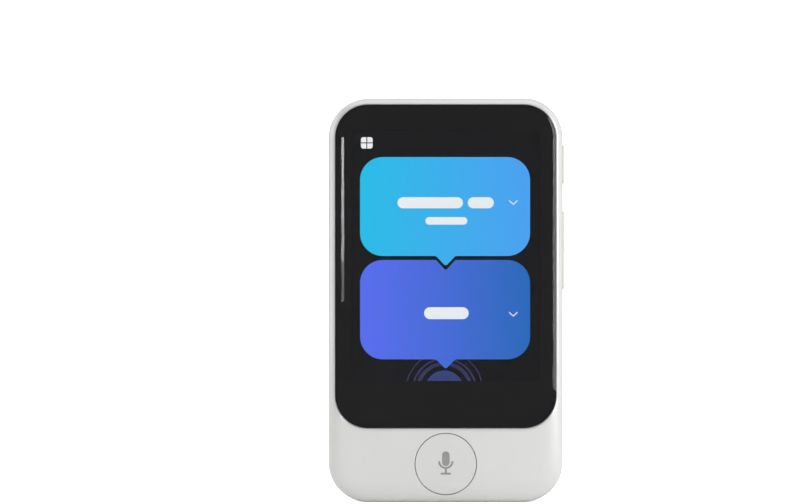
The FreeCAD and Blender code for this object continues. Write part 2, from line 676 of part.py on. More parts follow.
def button_board():
    """The round board under the button; its tail runs through the chassis plate to the lower board."""
    half, top = BUTTON_BOARD_TAIL
    board = disc_y(0, BUTTON_Z, BUTTON_BOARD_RADIUS, BUTTON_BOARD_Y)
    tail = block((-half, half), BUTTON_BOARD_Y, (BUTTON_Z, top))
    cable = ribbon(BUTTON_PATH, CABLE_THICK - 0.02, (-BUTTON_CABLE_HALF, BUTTON_CABLE_HALF))
    return fused([board, tail, cable])


def button_lamps():
    """Two small lamps that light the sign."""
    wide, thick, tall = BUTTON_LAMP
    y = (BUTTON_BOARD_Y[0] - thick, BUTTON_BOARD_Y[0])
    return joined([block(centred(side * BUTTON_LAMP_X, wide), y, centred(BUTTON_Z, tall)) for side in (-1, 1)])


def side_key(span, noses_z, flange):
    """A side key: a stadium-shaped cap, a flange that keeps it in, and noses that press its domes."""
    face_x = HALF_WIDTH + KEY_PROUD
    cap = plate_x(centred(PORT_Y, KEY_WIDTH), span, FAR, (KEY_ROOT_X, face_x))
    rim = [e for e in cap.Edges if abs(e.BoundBox.XMin - face_x) < 1e-6]
    cap = cap.makeFillet(KEY_EDGE, rim)
    flange_y = centred(PORT_Y, KEY_WIDTH + 2 * KEY_FLANGE_BORDER)
    pieces = [cap, block(KEY_FLANGE_X, flange_y, centred(sum(span) / 2, flange))]
    pieces += [disc_x(PORT_Y, z, KEY_NOSE_RADIUS, (DOME_X[1] + PRESS_GAP, KEY_ROOT_X)) for z in noses_z]
    return fused(pieces)


def power_key():
    """The short upper key."""
    return side_key(POWER_Z, [POWER_MIDDLE], POWER_FLANGE)


def volume_noses_z():
    """The heights of the rocker's two noses."""
    return [VOLUME_MIDDLE - VOLUME_NOSE, VOLUME_MIDDLE + VOLUME_NOSE]


def volume_key():
    """The long rocker, with two round ridges that it rocks on against the wall's inside."""
    x, radius = KEY_PIVOT
    reach = KEY_WIDTH / 2 + KEY_FLANGE_BORDER
    low, high = (PORT_Y - reach, PORT_Y - reach + 0.25), (PORT_Y + reach - 0.25, PORT_Y + reach)
    ridges = [disc_y(x, VOLUME_MIDDLE, radius, y) for y in (low, high)]
    return fused([side_key(VOLUME_Z, volume_noses_z(), VOLUME_FLANGE)] + ridges)


def side_key_domes():
    """The three snap domes on the side cable."""
    places = [POWER_MIDDLE] + volume_noses_z()
    height = DOME_X[1] - DOME_X[0]
    return joined([dome(SPOT(DOME_X[0], PORT_Y, z), SPOT(1, 0, 0), DOME_RADIUS, height) for z in places])


def side_key_flex():
    """The cable that carries the side domes, folded onto the main board."""
    strip = plate_x(FLEX_STRIP[0], FLEX_STRIP[1], 0.5, FLEX_X)
    riser = block(FLEX_X, (0, FLEX_TAIL_Y[1]), FLEX_TAIL_Z)
    return fused([strip, riser, block((FLEX_TAIL_X, FLEX_X[1]), FLEX_TAIL_Y, FLEX_TAIL_Z)])


def side_key_bracket():
    """The steel strip behind the side cable, with two feet on the chassis plate."""
    foot_y = (CHASSIS_Y[1], CHASSIS_Y[1] + BRACKET_FOOT_THICK)
    feet = [block((BRACKET_FOOT_X, BRACKET_X[1]), foot_y, z) for z in BRACKET_FEET_Z]
    return fused([block(BRACKET_X, BRACKET_Y, BRACKET_Z)] + feet)


def card_z():
    """The card's span of heights, in the middle of the tray."""
    return centred(sum(TRAY_BODY_Z) / 2, CARD[2])


def sim_tray():
    """The card tray: its face closes the slot in the wall, and its frame carries the card."""
    face = plate_x(centred(PORT_Y, TRAY_FACE_WIDTH), TRAY_Z, FAR, TRAY_FACE_X)
    frame = block((TRAY_FACE_X[1] - 0.2, TRAY_END_X), centred(PORT_Y, TRAY_THICK), TRAY_BODY_Z)
    tail = [e for e in frame.Edges if abs(e.CenterOfMass.x - TRAY_END_X) < 1e-6 and e.BoundBox.ZLength < 1e-6]
    frame = frame.makeFillet(TRAY_END_RADIUS, tail)
    (x0, x1), (z0, z1) = CARD_X, card_z()
    pocket = block((x0 - CARD_GAP, x1 + CARD_GAP), (-FAR, CARD_LOW_Y + CARD[1] + CARD_GAP),
                   (z0 - CARD_GAP, z1 + CARD_GAP))
    window = block((x0 + TRAY_RAIL, x1 - TRAY_RAIL), EVERYWHERE, (z0 + TRAY_RAIL, z1 - TRAY_RAIL))
    pin = disc_x(PORT_Y, PIN_HOLE_Z, PIN_HOLE_RADIUS, (-FAR, 0))
    return face.fuse(frame).cut(joined([pocket, window, pin]))


def sim_card():
    """The card, with its cut corner."""
    z = card_z()
    card = block(CARD_X, (CARD_LOW_Y, CARD_LOW_Y + CARD[1]), z)
    corner = [e for e in card.Edges if abs(e.CenterOfMass.x - CARD_X[1]) + abs(e.CenterOfMass.z - z[1]) < 1e-6]
    return card.makeChamfer(CARD_NOTCH, corner)


def sim_tray_seal():
    """The rubber band round the tray's neck."""
    z = (TRAY_BODY_Z[0] - SEAL_BAND, TRAY_BODY_Z[1] + SEAL_BAND)
    band = plate_x(centred(PORT_Y, TRAY_THICK + 2 * SEAL_BAND), z, 0.5, SEAL_X)
    return band.cut(block(EVERYWHERE, centred(PORT_Y, TRAY_THICK), TRAY_BODY_Z))


def sim_reader():
    """The metal card cage on the main board, open to the wall, with a window for the eject lever."""
    cage = block(READER_X, (READER_FRONT_Y, MAIN_BOARD_Y[0]), READER_Z)
    z = (TRAY_BODY_Z[0] - READER_GAP, TRAY_BODY_Z[1] + READER_GAP)
    channel = block(READER_CHANNEL_X, centred(PORT_Y, TRAY_THICK + 2 * READER_GAP), z)
    return cage.cut(channel.fuse(block(*READER_WINDOW)))


def sim_eject_rod():
    """The rod from the pin hole to the lever."""
    bar = disc_x(PORT_Y, PIN_HOLE_Z, ROD_RADIUS, ROD_X)
    return bar.fuse(disc_x(PORT_Y, PIN_HOLE_Z, ROD_NOSE_RADIUS, (ROD_X[1], ROD_NOSE_X)))


def sim_eject_lever():
    """The flat lever that turns the rod's push inwards into a push outwards on the tray's end."""
    x, z = LEVER_PIVOT
    arm = plate_y(LEVER_ARM[0], LEVER_ARM[1], 0.45, LEVER_Y)
    toe = plate_y(LEVER_TOE[0], LEVER_TOE[1], 0.4, LEVER_Y)
    hub = disc_y(x, z, LEVER_HUB_RADIUS, LEVER_Y)
    return fused([arm, toe, hub]).cut(disc_y(x, z, LEVER_BORE, EVERYWHERE))


def sim_lever_pin():
    """The headed pin that the lever turns on."""
    x, z = LEVER_PIVOT
    pin = disc_y(x, z, LEVER_PIN[0], (LEVER_PIN[1], MAIN_BOARD_Y[0]))
    return pin.fuse(disc_y(x, z, *LEVER_PIN_HEAD))


def mid_frame():
    """The chassis plate, with bosses under the boards, a fence round the battery, and cable slots."""
    plate = plate_y((-CHASSIS_HALF, CHASSIS_HALF), CHASSIS_Z, CHASSIS_CORNER, CHASSIS_Y)
    root = CHASSIS_Y[1] - 0.1
    tall = [disc_y(x, z, BOSS_RADIUS, (root, MAIN_BOARD_Y[0])) for x, z in CARRIER_SCREWS + BOARD_SCREWS]
    low = [disc_y(x, z, BOSS_RADIUS, (root, LOW_BOARD_Y[0])) for x, z in LOW_SCREWS]
    x = (BATTERY_X[0] - FENCE_GAP, BATTERY_X[1] + FENCE_GAP)
    z = (BATTERY_Z[0] - FENCE_GAP, BATTERY_Z[1] + FENCE_GAP)
    fence = block((x[0] - FENCE_WALL, x[1] + FENCE_WALL), (root, FENCE_BACK_Y),
                  (z[0] - FENCE_WALL, z[1] + FENCE_WALL))
    fence = fence.cut(block(x, EVERYWHERE, z))
    fence = fence.cut(block((-FENCE_BREAK_HALF, FENCE_BREAK_HALF), EVERYWHERE, EVERYWHERE))
    screws = CHASSIS_SCREWS + CARRIER_SCREWS + BOARD_SCREWS + LOW_SCREWS
    cuts = [disc_y(x, z, THREAD_RADIUS, EVERYWHERE) for x, z in screws]
    for half, z in (DISPLAY_SLOT, BUTTON_SLOT):
        cuts.append(plate_y((-half, half), z, 0.5, EVERYWHERE))
    return fused([plate, fence] + tall + low).cut(joined(cuts))


def screw(x, z, head_y, length):
    """A small screw driven towards the front, with a cross recess in its head."""
    radius, thick = SCREW_HEAD
    narrow, wide, deep = SCREW_CROSS
    top = head_y + thick
    body = disc_y(x, z, radius, (head_y, top)).fuse(disc_y(x, z, SCREW_RADIUS, (head_y - length, head_y + 0.1)))
    arms = [block(centred(x, a), (top - deep, FAR), centred(z, b)) for a, b in ((narrow, wide), (wide, narrow))]
    return body.cut(arms[0].fuse(arms[1]))


def chassis_screws():
    """Six screws that hold the chassis plate to the front housing's posts."""
    return joined([screw(x, z, CHASSIS_Y[1], 1.6) for x, z in CHASSIS_SCREWS])


def board_screws():
    """Six screws into the chassis plate's bosses; the upper two also hold the antenna carrier's ears."""
    ear_top = MAIN_BOARD_Y[1] + CARRIER_EAR[1]
    carrier = [screw(x, z, ear_top, 3.2) for x, z in CARRIER_SCREWS]
    board = [screw(x, z, MAIN_BOARD_Y[1], 2.6) for x, z in BOARD_SCREWS]
    low = [screw(x, z, LOW_BOARD_Y[1], 1.9) for x, z in LOW_SCREWS]
    return joined(carrier + board + low)


def main_board():
    """The main board: square below, rounded to the body's corners above, with a hole for the camera."""
    low = MAIN_BOARD_Z[0]
    board = plate_y(MAIN_BOARD_X, (low - MAIN_BOARD_CORNER, MAIN_BOARD_Z[1]), MAIN_BOARD_CORNER, MAIN_BOARD_Y)
    board = board.common(block(EVERYWHERE, EVERYWHERE, (low, FAR * 2)))
    camera = plate_y(centred(0, CAMERA_BOARD_HOLE), centred(CAMERA_Z, CAMERA_BOARD_HOLE), 0.6, EVERYWHERE)
    holes = [disc_y(x, z, SCREW_HOLE, EVERYWHERE) for x, z in CARRIER_SCREWS + BOARD_SCREWS]
    return board.cut(joined([camera] + holes))


def board_chips():
    """The chips under the three cans."""
    front, back = MAIN_BOARD_Y
    chips = [block(x, (front - thick, front), z) for x, thick, z in FRONT_CHIPS]
    return joined(chips + [block(x, (back, back + thick), z) for x, thick, z in BACK_CHIPS])


def shield(can, lid_in_front):
    """A drawn tin can over chips: thin walls, open on the board's side."""
    x, y, z = can
    inside_y = (y[0] + SHEET, FAR) if lid_in_front else (-FAR, y[1] - SHEET)
    hollow = block((x[0] + SHEET, x[1] - SHEET), inside_y, (z[0] + SHEET, z[1] - SHEET))
    return plate_y(x, z, CAN_CORNER, y).cut(hollow)


def processor_shield():
    """The can over the processor and its memory."""
    return shield(PROCESSOR_CAN, True)


def power_shield():
    """The can over the charging and supply chips."""
    return shield(POWER_CAN, True)


def radio_shield():
    """The can over the radio, on the board's back."""
    return shield(RADIO_CAN, False)


def low_board():
    """The lower board."""
    wide = plate_y((-LOW_BOARD_HALF, LOW_BOARD_HALF), LOW_BOARD_Z, LOW_BOARD_CORNER, LOW_BOARD_Y)
    neck = block((-LOW_NECK_HALF, LOW_NECK_HALF), LOW_BOARD_Y, (LOW_NECK_Z, LOW_BOARD_Z[0] + 1.5))
    holes = [disc_y(x, z, SCREW_HOLE, EVERYWHERE) for x, z in LOW_SCREWS]
    port = block((-LOW_PORT_HALF, LOW_PORT_HALF), EVERYWHERE, (0, PORT_Z[1] + 0.15))
    return wide.fuse(neck).cut(joined([port] + holes))


def board_connectors():
    """The flat cables' sockets on both boards."""
    return joined([block(*spans) for spans in SOCKETS.values()])


def battery():
    """The battery pouch and the cap strip over its cell's edge."""
    inset, y, proud = BATTERY_CAP
    pouch = plate_x(BATTERY_Y, BATTERY_Z, BATTERY_EDGE, BATTERY_X)
    cap = block((BATTERY_X[0] + inset, BATTERY_X[1] - inset), y, (BATTERY_Z[1] - 0.5, BATTERY_Z[1] + proud))
    return pouch.fuse(cap)


def battery_tape():
    """Two strips of tape that hold the battery to the chassis plate."""
    return joined([block(x, (CHASSIS_Y[1], BATTERY_Y[0]), TAPE_Z) for x in TAPE_X])


def battery_lead():
    """The battery's short lead, over the main board's edge to its socket."""
    return ribbon(LEAD_PATH, LEAD_THICK, LEAD_X)


def interconnect_flex():
    """The cable over the battery that joins the two boards."""
    return ribbon(LINK_PATH, CABLE_THICK, LINK_X)


def display_flex():
    """The panel's cable: from its shelf, through the chassis plate, onto the lower board."""
    return ribbon(DISPLAY_PATH, CABLE_THICK, (-DISPLAY_CABLE_HALF, DISPLAY_CABLE_HALF))


def camera_flex():
    """The camera's cable, folded from under its can to its socket."""
    return ribbon(CAMERA_PATH, CABLE_THICK, CAMERA_CABLE_X)


def camera_module():
    """The focus motor's square can, bored for the lens barrel."""
    size, y = CAMERA_CAN
    can = plate_y(centred(0, size), centred(CAMERA_Z, size), 0.5, y)
    return can.cut(disc_y(0, CAMERA_Z, BARREL_RADIUS + BARREL_GAP, (CAMERA_FLOOR_Y, FAR)))


def camera_lens_barrel():
    """The barrel that the focus motor moves, with the cone in front of its glass."""
    narrow, wide, start = BARREL_CONE
    barrel = disc_y(0, CAMERA_Z, BARREL_RADIUS, BARREL_Y)
    cone = Part.makeCone(narrow, wide, BARREL_Y[1] - start, SPOT(0, start, CAMERA_Z), SPOT(0, 1, 0))
    return barrel.cut(cone.fuse(disc_y(0, CAMERA_Z, narrow, (ELEMENT_Y[0], start + 0.1))))


def front_lens_element():
    """The camera's first lens, bulging towards the back."""
    radius = BARREL_CONE[0]
    base = disc_y(0, CAMERA_Z, radius, ELEMENT_Y)
    return base.fuse(dome(SPOT(0, ELEMENT_Y[1], CAMERA_Z), SPOT(0, 1, 0), radius, ELEMENT_BULGE))


def camera_gasket():
    """The foam ring between the camera's can and the back wall."""
    outer, inner, y = GASKET
    return disc_y(0, CAMERA_Z, outer, y).cut(disc_y(0, CAMERA_Z, inner, EVERYWHERE))


def camera_ring():
    """The thin bright ring round the camera's window."""
    ring = disc_y(0, CAMERA_Z, CAMERA_RADIUS, (CAMERA_RECESS_Y, BACK_Y))
    return ring.cut(disc_y(0, CAMERA_Z, CAMERA_RADIUS - RING_BAND, EVERYWHERE))


def camera_window():
    """The flat window over the camera."""
    return disc_y(0, CAMERA_Z, CAMERA_RADIUS - RING_BAND - 0.01, (CAMERA_RECESS_Y, BACK_Y - 0.08))


def flash_led():
    """The lamp's chip on the main board."""
    size, back = LAMP_CHIP
    return block(centred(0, size), (MAIN_BOARD_Y[1], back), centred(LAMP_Z, size))


def flash_lens():
    """The lamp's round window and the light pipe behind it."""
    radius, start = LAMP_PIPE
    window = disc_y(0, LAMP_Z, LAMP_RADIUS, (LAMP_RECESS_Y, BACK_Y - 0.06))
    return window.fuse(disc_y(0, LAMP_Z, radius, (start, LAMP_RECESS_Y + 0.1)))


def port_plate(shrink, z):
    """A plate with the port's outline, drawn in by shrink."""
    wide, deep = (size - 2 * shrink for size in PORT_SIZE)
    return plate_z(centred(0, wide), centred(PORT_Y, deep), deep / 2, z)


def usb_shell():
    """The port's steel shell, closed at its inner end."""
    return port_plate(0, PORT_Z).cut(port_plate(PORT_SHEET, (-1, PORT_MOUTH_END)))


def usb_tongue():
    """The flat tongue that carries the contacts, and the block that fills the shell behind it."""
    wide, thick, z = PORT_TONGUE
    blade = block(centred(0, wide), centred(PORT_Y, thick), z)
    return blade.fuse(port_plate(PORT_SHEET + 0.02, PORT_BASE_Z))


def usb_contacts():
    """The rows of contacts on both faces of the tongue."""
    wide, proud, z = CONTACT
    face = PORT_TONGUE[1] / 2
    contacts = []
    for n in range(CONTACT_COUNT):
        x = centred((n - (CONTACT_COUNT - 1) / 2) * CONTACT_PITCH, wide)
        contacts.append(block(x, (PORT_Y - face - proud, PORT_Y - face), z))
        contacts.append(block(x, (PORT_Y + face, PORT_Y + face + proud), z))
    return joined(contacts)


def rubber_seals():
    """The ring round the port inside the wall, and the sleeves from two holes to the microphones."""
    wide, deep, z = PORT_SEAL
    ring = plate_z(centred(0, wide), centred(PORT_Y, deep), FAR, z).cut(port_plate(-0.02, EVERYWHERE))
    low = block(*LOW_BOOT).cut(disc_z(LOW_MIC_X, PORT_Y, MIC_HOLE_RADIUS, EVERYWHERE))
    top = block(*TOP_BOOT).cut(disc_z(TOP_MIC_X, PORT_Y, MIC_HOLE_RADIUS, EVERYWHERE))
    return joined([ring, low, top])


def speaker_meshes():
    """Fine acoustic cloth behind the two rows of sound holes."""
    x, y, z = MESH_BAND
    return joined([block(on_side(side, x), y, z) for side in (-1, 1)])


def loudspeakers(clear_room):
    """Two loudspeaker boxes that fill the lower corners, each with a recess for its cone."""
    x, y, z = SPEAKER_BOX
    size = [length + CONE_BORDER for length in CONE_SIZE]
    boxes = []
    for side in (-1, 1):
        box = block(on_side(side, x), y, z).common(clear_room)
        recess = plate_y(centred(side * CONE_X, size[0]), centred(CONE_Z, size[1]), 1.5, (CONE_Y[0], FAR))
        boxes.append(box.cut(recess))
    return joined(boxes)


def speaker_cones():
    """The loudspeakers' diaphragms in their recesses."""
    cones = []
    for side in (-1, 1):
        x = side * CONE_X
        cone = plate_y(centred(x, CONE_SIZE[0]), centred(CONE_Z, CONE_SIZE[1]), 1.4, CONE_Y)
        cap = plate_y(centred(x, CONE_CAP[0]), centred(CONE_Z, CONE_CAP[1]), 1.0, (CONE_Y[1], CONE_CAP_Y))
        cones.append(cone.fuse(cap))
    return joined(cones)


def microphone(x, board_y, size):
    """A microphone can on the front of a board."""
    wide, thick, z = size
    return block(centred(x, wide), (board_y - thick, board_y), z)


def microphones():
    """The lower microphone on the lower board, and the upper one on the main board."""
    low = microphone(LOW_MIC_X, LOW_BOARD_Y[0], LOW_MIC)
    return joined([low, microphone(TOP_MIC_X, MAIN_BOARD_Y[0], TOP_MIC)])


def antenna_carrier(clear_room):
    """The plastic arch that holds the antenna clear of the main board, with two screwed ears."""
    arch = block((-CARRIER_HALF, CARRIER_HALF), CARRIER_Y, CARRIER_Z).common(clear_room)
    leg_x = (CARRIER_HALF - CARRIER_LEG, CARRIER_HALF)
    leg_y = (MAIN_BOARD_Y[1], CARRIER_Y[0] + 0.5)
    legs = [block(on_side(side, leg_x), leg_y, CARRIER_LEG_Z) for side in (-1, 1)]
    reach, thick, tall = CARRIER_EAR
    ears = []
    for x, z in CARRIER_SCREWS:
        span = on_side(math.copysign(1, x), (leg_x[0] + 0.4, abs(x) + reach))
        ears.append(block(span, (MAIN_BOARD_Y[1], MAIN_BOARD_Y[1] + thick), centred(z, tall)))
    holes = [disc_y(x, z, SCREW_HOLE, EVERYWHERE) for x, z in CARRIER_SCREWS]
    return fused([arch] + legs + ears).cut(joined(holes))


def antenna_trace():
    """The metal path plated on the carrier: a bar with four fingers."""
    y = (CARRIER_Y[1], CARRIER_Y[1] + ANTENNA_THICK)
    wide, z = ANTENNA_FINGER
    fingers = [block(centred(x, wide), y, z) for x in ANTENNA_FINGERS_X]
    return fused([block(ANTENNA_BAR[0], y, ANTENNA_BAR[1])] + fingers)


def all_parts():
    """Every sub-part by name."""
    form, room, clear_room = outer_form(), inner_form(), inner_form(INNER_CLEAR)
    parts = {
        "front_housing": front_housing(form, room),
        "rear_cover": rear_cover(form, room),
        "cover_glass": cover_glass(form),
        "glass_trim_ring": glass_trim_ring(form),
        "translate_button": translate_button(form),
        "loudspeakers": loudspeakers(clear_room),
        "antenna_carrier": antenna_carrier(clear_room),
    }
    makers = [
        glass_adhesive, touch_sensor, lcd_panel, backlight_unit, display_flex,
        mid_frame, chassis_screws, board_screws,
        button_symbol, button_pad, translate_dome, button_board, button_lamps,
        power_key, volume_key, side_key_domes, side_key_flex, side_key_bracket,
        sim_tray, sim_card, sim_tray_seal, sim_reader, sim_eject_rod, sim_eject_lever, sim_lever_pin,
        main_board, board_chips, processor_shield, power_shield, radio_shield, board_connectors,
        camera_module, camera_lens_barrel, front_lens_element, camera_gasket, camera_ring, camera_window,
        camera_flex, flash_led, flash_lens, battery, battery_tape, battery_lead, interconnect_flex,
        low_board, usb_shell, usb_tongue, usb_contacts, rubber_seals,
        speaker_meshes, speaker_cones, microphones, antenna_trace,
    ]
    for maker in makers:
        parts[maker.__name__] = maker()
    return parts


def main():
    """Write one STEP file per sub-part."""
    os.makedirs("parts", exist_ok=True)
    for name, shape in all_parts().items():
        bad = [solid for solid in shape.Solids if not solid.isValid() or solid.Volume <= 0]
        if bad or not shape.Solids:
            raise ValueError(f"{name} has a bad solid")
        shape.exportStep(f"parts/{name}.step")
        print(name, len(shape.Solids), round(sum(solid.Volume for solid in shape.Solids), 2))


main()
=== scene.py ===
# %% [markdown]
# # A pocket translator, dressed for its portrait
# The solids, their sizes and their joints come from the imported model, which is loaded here as a
# fixed frame. Everything below only adds finish: fine pieces, materials, a camera and lights.
# All lengths are in metres. X runs across the face, Y from the glass to the back, Z upwards.

# %% Load the frame
import bpy
import math
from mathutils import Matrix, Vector


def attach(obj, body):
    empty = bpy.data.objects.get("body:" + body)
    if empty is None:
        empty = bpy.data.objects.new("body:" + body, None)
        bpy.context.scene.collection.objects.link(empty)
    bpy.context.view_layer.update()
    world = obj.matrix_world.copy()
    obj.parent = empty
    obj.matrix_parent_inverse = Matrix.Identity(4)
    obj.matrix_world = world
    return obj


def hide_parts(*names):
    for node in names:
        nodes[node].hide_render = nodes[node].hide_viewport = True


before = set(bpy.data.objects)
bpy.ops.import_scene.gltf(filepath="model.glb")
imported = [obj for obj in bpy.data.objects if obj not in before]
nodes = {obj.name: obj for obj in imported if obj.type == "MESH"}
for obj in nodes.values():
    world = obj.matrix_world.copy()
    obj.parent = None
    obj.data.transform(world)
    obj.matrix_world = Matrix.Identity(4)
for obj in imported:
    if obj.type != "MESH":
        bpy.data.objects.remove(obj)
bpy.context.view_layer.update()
MM = 0.001

# %% [markdown]
# ## The camera
# The photograph is taken square on to the glass with a long lens, so the sides hardly show.
# The object stands right of the middle of the picture, so the camera stands a little to its
# left and looks straight ahead, rather than turning or shifting.

# %% Place the camera
CAMERA_PLACE = (-10.35, -683.75, 56.7)
GLASS_FRONT, GLASS_BACK = -5.75, -4.65
camera_data = bpy.data.cameras.new("portrait_camera")
camera_data.lens = 135
camera_data.sensor_width = 36
camera = bpy.data.objects.new("portrait_camera", camera_data)
camera.location = [v * MM for v in CAMERA_PLACE]
camera.rotation_euler = (math.radians(90), 0, 0)
bpy.context.scene.collection.objects.link(camera)
bpy.context.scene.camera = camera
bpy.context.scene.view_settings.view_transform = "Standard"
span = (GLASS_FRONT - CAMERA_PLACE[1]) * camera_data.sensor_width / camera_data.lens
print("picture width at the glass, mm:", round(span, 1))

# %% [markdown]
# ## Helpers for modelling
# An operator works on all that is selected, and the loaded solids start out selected. So each
# piece is started by deselecting all. Faces and edges are picked in code, by where they are.
# A finished piece has its place in its mesh, so its object stays at the origin.

# %% Start, pick and finish pieces
import bmesh

TOUCH = 1e-7


def clear_selection():
    """Deselect every object, so that the next operator works on its own piece only."""
    if bpy.context.object and bpy.context.object.mode != "OBJECT":
        bpy.ops.object.mode_set(mode="OBJECT")
    bpy.ops.object.select_all(action="DESELECT")


def slab(name, x0, x1, y0, y1, z0, z1):
    """A block between these millimetres, selected and in object mode, to be shaped further."""
    clear_selection()
    bpy.ops.mesh.primitive_cube_add(size=1, location=(0, 0, 0))
    piece = bpy.context.object
    piece.name = name
    piece.scale = ((x1 - x0) * MM, (y1 - y0) * MM, (z1 - z0) * MM)
    piece.location = ((x0 + x1) / 2 * MM, (y0 + y1) / 2 * MM, (z0 + z1) / 2 * MM)
    bpy.ops.object.transform_apply()
    return piece


def disc(name, centre, radius, y0, y1, sides=96):
    """A round plate facing the camera, its middle at centre (x, z), all in millimetres."""
    clear_selection()
    place = (centre[0] * MM, (y0 + y1) / 2 * MM, centre[1] * MM)
    bpy.ops.mesh.primitive_cylinder_add(
        vertices=sides, radius=radius * MM, depth=(y1 - y0) * MM, location=place,
        rotation=(math.radians(90), 0, 0))
    piece = bpy.context.object
    piece.name = name
    bpy.ops.object.transform_apply()
    return piece


def pick_edges(piece, wanted):
    """Enter edit mode with only the edges selected whose two ends pass wanted(a, b), in mm."""
    bpy.ops.object.mode_set(mode="EDIT")
    bpy.ops.mesh.select_mode(type="EDGE")
    bpy.ops.mesh.select_all(action="DESELECT")
    shape = bmesh.from_edit_mesh(piece.data)
    for edge in shape.edges:
        a, b = (v.co / MM for v in edge.verts)
        edge.select_set(wanted(a, b))
    bmesh.update_edit_mesh(piece.data)


def pick_faces(piece, wanted):
    """Enter edit mode with only the faces selected that pass wanted(middle, normal), in mm."""
    bpy.ops.object.mode_set(mode="EDIT")
    bpy.ops.mesh.select_mode(type="FACE")
    bpy.ops.mesh.select_all(action="DESELECT")
    shape = bmesh.from_edit_mesh(piece.data)
    for face in shape.faces:
        face.select_set(wanted(face.calc_center_median() / MM, face.normal))
    bmesh.update_edit_mesh(piece.data)


def slice_piece(piece, point, normal, **options):
    """Cut the whole piece along a plane through point, in mm. TOUCH keeps the cut from merging."""
    clear_selection()
    bpy.context.view_layer.objects.active = piece
    bpy.ops.object.mode_set(mode="EDIT")
    bpy.ops.mesh.select_all(action="SELECT")
    bpy.ops.mesh.bisect(plane_co=[v * MM for v in point], plane_no=normal, threshold=TOUCH,
                        **options)
    bpy.ops.object.mode_set(mode="OBJECT")


def turn_steps(piece, steps):
    """Inset the back face again and again, and move each new face back by its rise, in mm."""
    pick_faces(piece, lambda middle, normal: normal.y > 0.9)
    for width, rise in steps:
        bpy.ops.mesh.inset(thickness=width * MM)
        bpy.ops.transform.translate(value=(0, rise * MM, 0))
    bpy.ops.object.mode_set(mode="OBJECT")


def along_y(a, b):
    """True for an edge that runs straight back from the face."""
    return abs(a.x - b.x) < 1e-3 and abs(a.z - b.z) < 1e-3


def on_plane(a, b, y):
    """True for an edge that lies in the plane y."""
    return abs(a.y - y) < 1e-3 and abs(b.y - y) < 1e-3


def bevel(width, segments, profile=0.5):
    """Round the picked edges and go back to object mode."""
    bpy.ops.mesh.bevel(offset=width * MM, segments=segments, profile=profile, affect="EDGES")
    bpy.ops.object.mode_set(mode="OBJECT")


def dress(piece, material, body="housing", angle=30):
    """Give the piece its material, smooth it, and let it ride on a body."""
    clear_selection()
    piece.select_set(True)
    bpy.context.view_layer.objects.active = piece
    bpy.ops.object.shade_smooth_by_angle(angle=math.radians(angle))
    piece.data.materials.clear()
    piece.data.materials.append(material)
    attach(piece, body)
    size = [round(v / MM, 2) for v in piece.dimensions]
    print(piece.name, "size in mm:", size, "faces:", len(piece.data.polygons))
    return piece


# %% [markdown]
# ## Helpers for finishes
# Every material starts as the standard shader and reads Object coordinates, so its pattern is
# fixed to the piece. Real surfaces differ at two scales: a slow drift of tone and gloss over
# millimetres, and a fine grain that only bends the light. One helper makes both kinds of noise.

# %% Build materials from noise
def start_material(name):
    """A new node material: the material, its node tree, its shader, and Object coordinates.

    The loaded model has plain materials of its own, which give up the name."""
    plain = bpy.data.materials.get(name)
    if plain:
        plain.name = "plain_" + name
    material = bpy.data.materials.new(name)
    material.use_nodes = True
    tree = material.node_tree
    coordinates = tree.nodes.new("ShaderNodeTexCoord")
    return material, tree, tree.nodes["Principled BSDF"], coordinates.outputs["Object"]


def noise(tree, place, size, detail=2.0, stretch=(1, 1, 1)):
    """Soft noise with blobs about size mm across, drawn out along an axis by stretch."""
    mapping = tree.nodes.new("ShaderNodeMapping")
    mapping.inputs["Scale"].default_value = [1 / (size * MM * s) for s in stretch]
    cloud = tree.nodes.new("ShaderNodeTexNoise")
    cloud.inputs["Scale"].default_value = 1.0
    cloud.inputs["Detail"].default_value = detail
    tree.links.new(place, mapping.inputs["Vector"])
    tree.links.new(mapping.outputs["Vector"], cloud.inputs["Vector"])
    return cloud.outputs["Fac"]


def remap(tree, value, low, high, start=0.3, end=0.7):
    """Stretch a 0 to 1 value so that it runs from low to high."""
    node = tree.nodes.new("ShaderNodeMapRange")
    node.inputs["From Min"].default_value = start
    node.inputs["From Max"].default_value = end
    node.inputs["To Min"].default_value = low
    node.inputs["To Max"].default_value = high
    tree.links.new(value, node.inputs["Value"])
    return node.outputs["Result"]


def blend_colours(tree, share, first, second):
    """Mix two colours, or two colour outputs, by share."""
    node = tree.nodes.new("ShaderNodeMix")
    node.data_type = "RGBA"
    tree.links.new(share, node.inputs["Factor"])
    for socket, colour in (("A", first), ("B", second)):
        target = [i for i in node.inputs if i.name == socket and i.type == "RGBA"][0]
        if isinstance(colour, tuple):
            target.default_value = colour + (1,)
        else:
            tree.links.new(colour, target)
    return [o for o in node.outputs if o.type == "RGBA"][0]


def raise_bumps(tree, shader, height, depth):
    """Turn a height between 0 and 1 into dents that are depth mm deep."""
    bump = tree.nodes.new("ShaderNodeBump")
    bump.inputs["Distance"].default_value = depth * MM
    tree.links.new(height, bump.inputs["Height"])
    tree.links.new(bump.outputs["Normal"], shader.inputs["Normal"])


def surface(name, first, second, rough, drift=4.0, grain=0.15, depth=0.004, metal=0.0,
            stretch=(1, 1, 1), **sockets):
    """A finish that drifts between two colours and two roughnesses, with a fine grain."""
    material, tree, shader, place = start_material(name)
    slow = noise(tree, place, drift, 3.0, stretch)
    fine = noise(tree, place, grain, 2.0, stretch)
    tree.links.new(blend_colours(tree, slow, first, second), shader.inputs["Base Color"])
    tree.links.new(remap(tree, fine, *rough), shader.inputs["Roughness"])
    raise_bumps(tree, shader, fine, depth)
    shader.inputs["Metallic"].default_value = metal
    for socket, value in sockets.items():
        shader.inputs[socket.replace("_", " ")].default_value = value
    return material


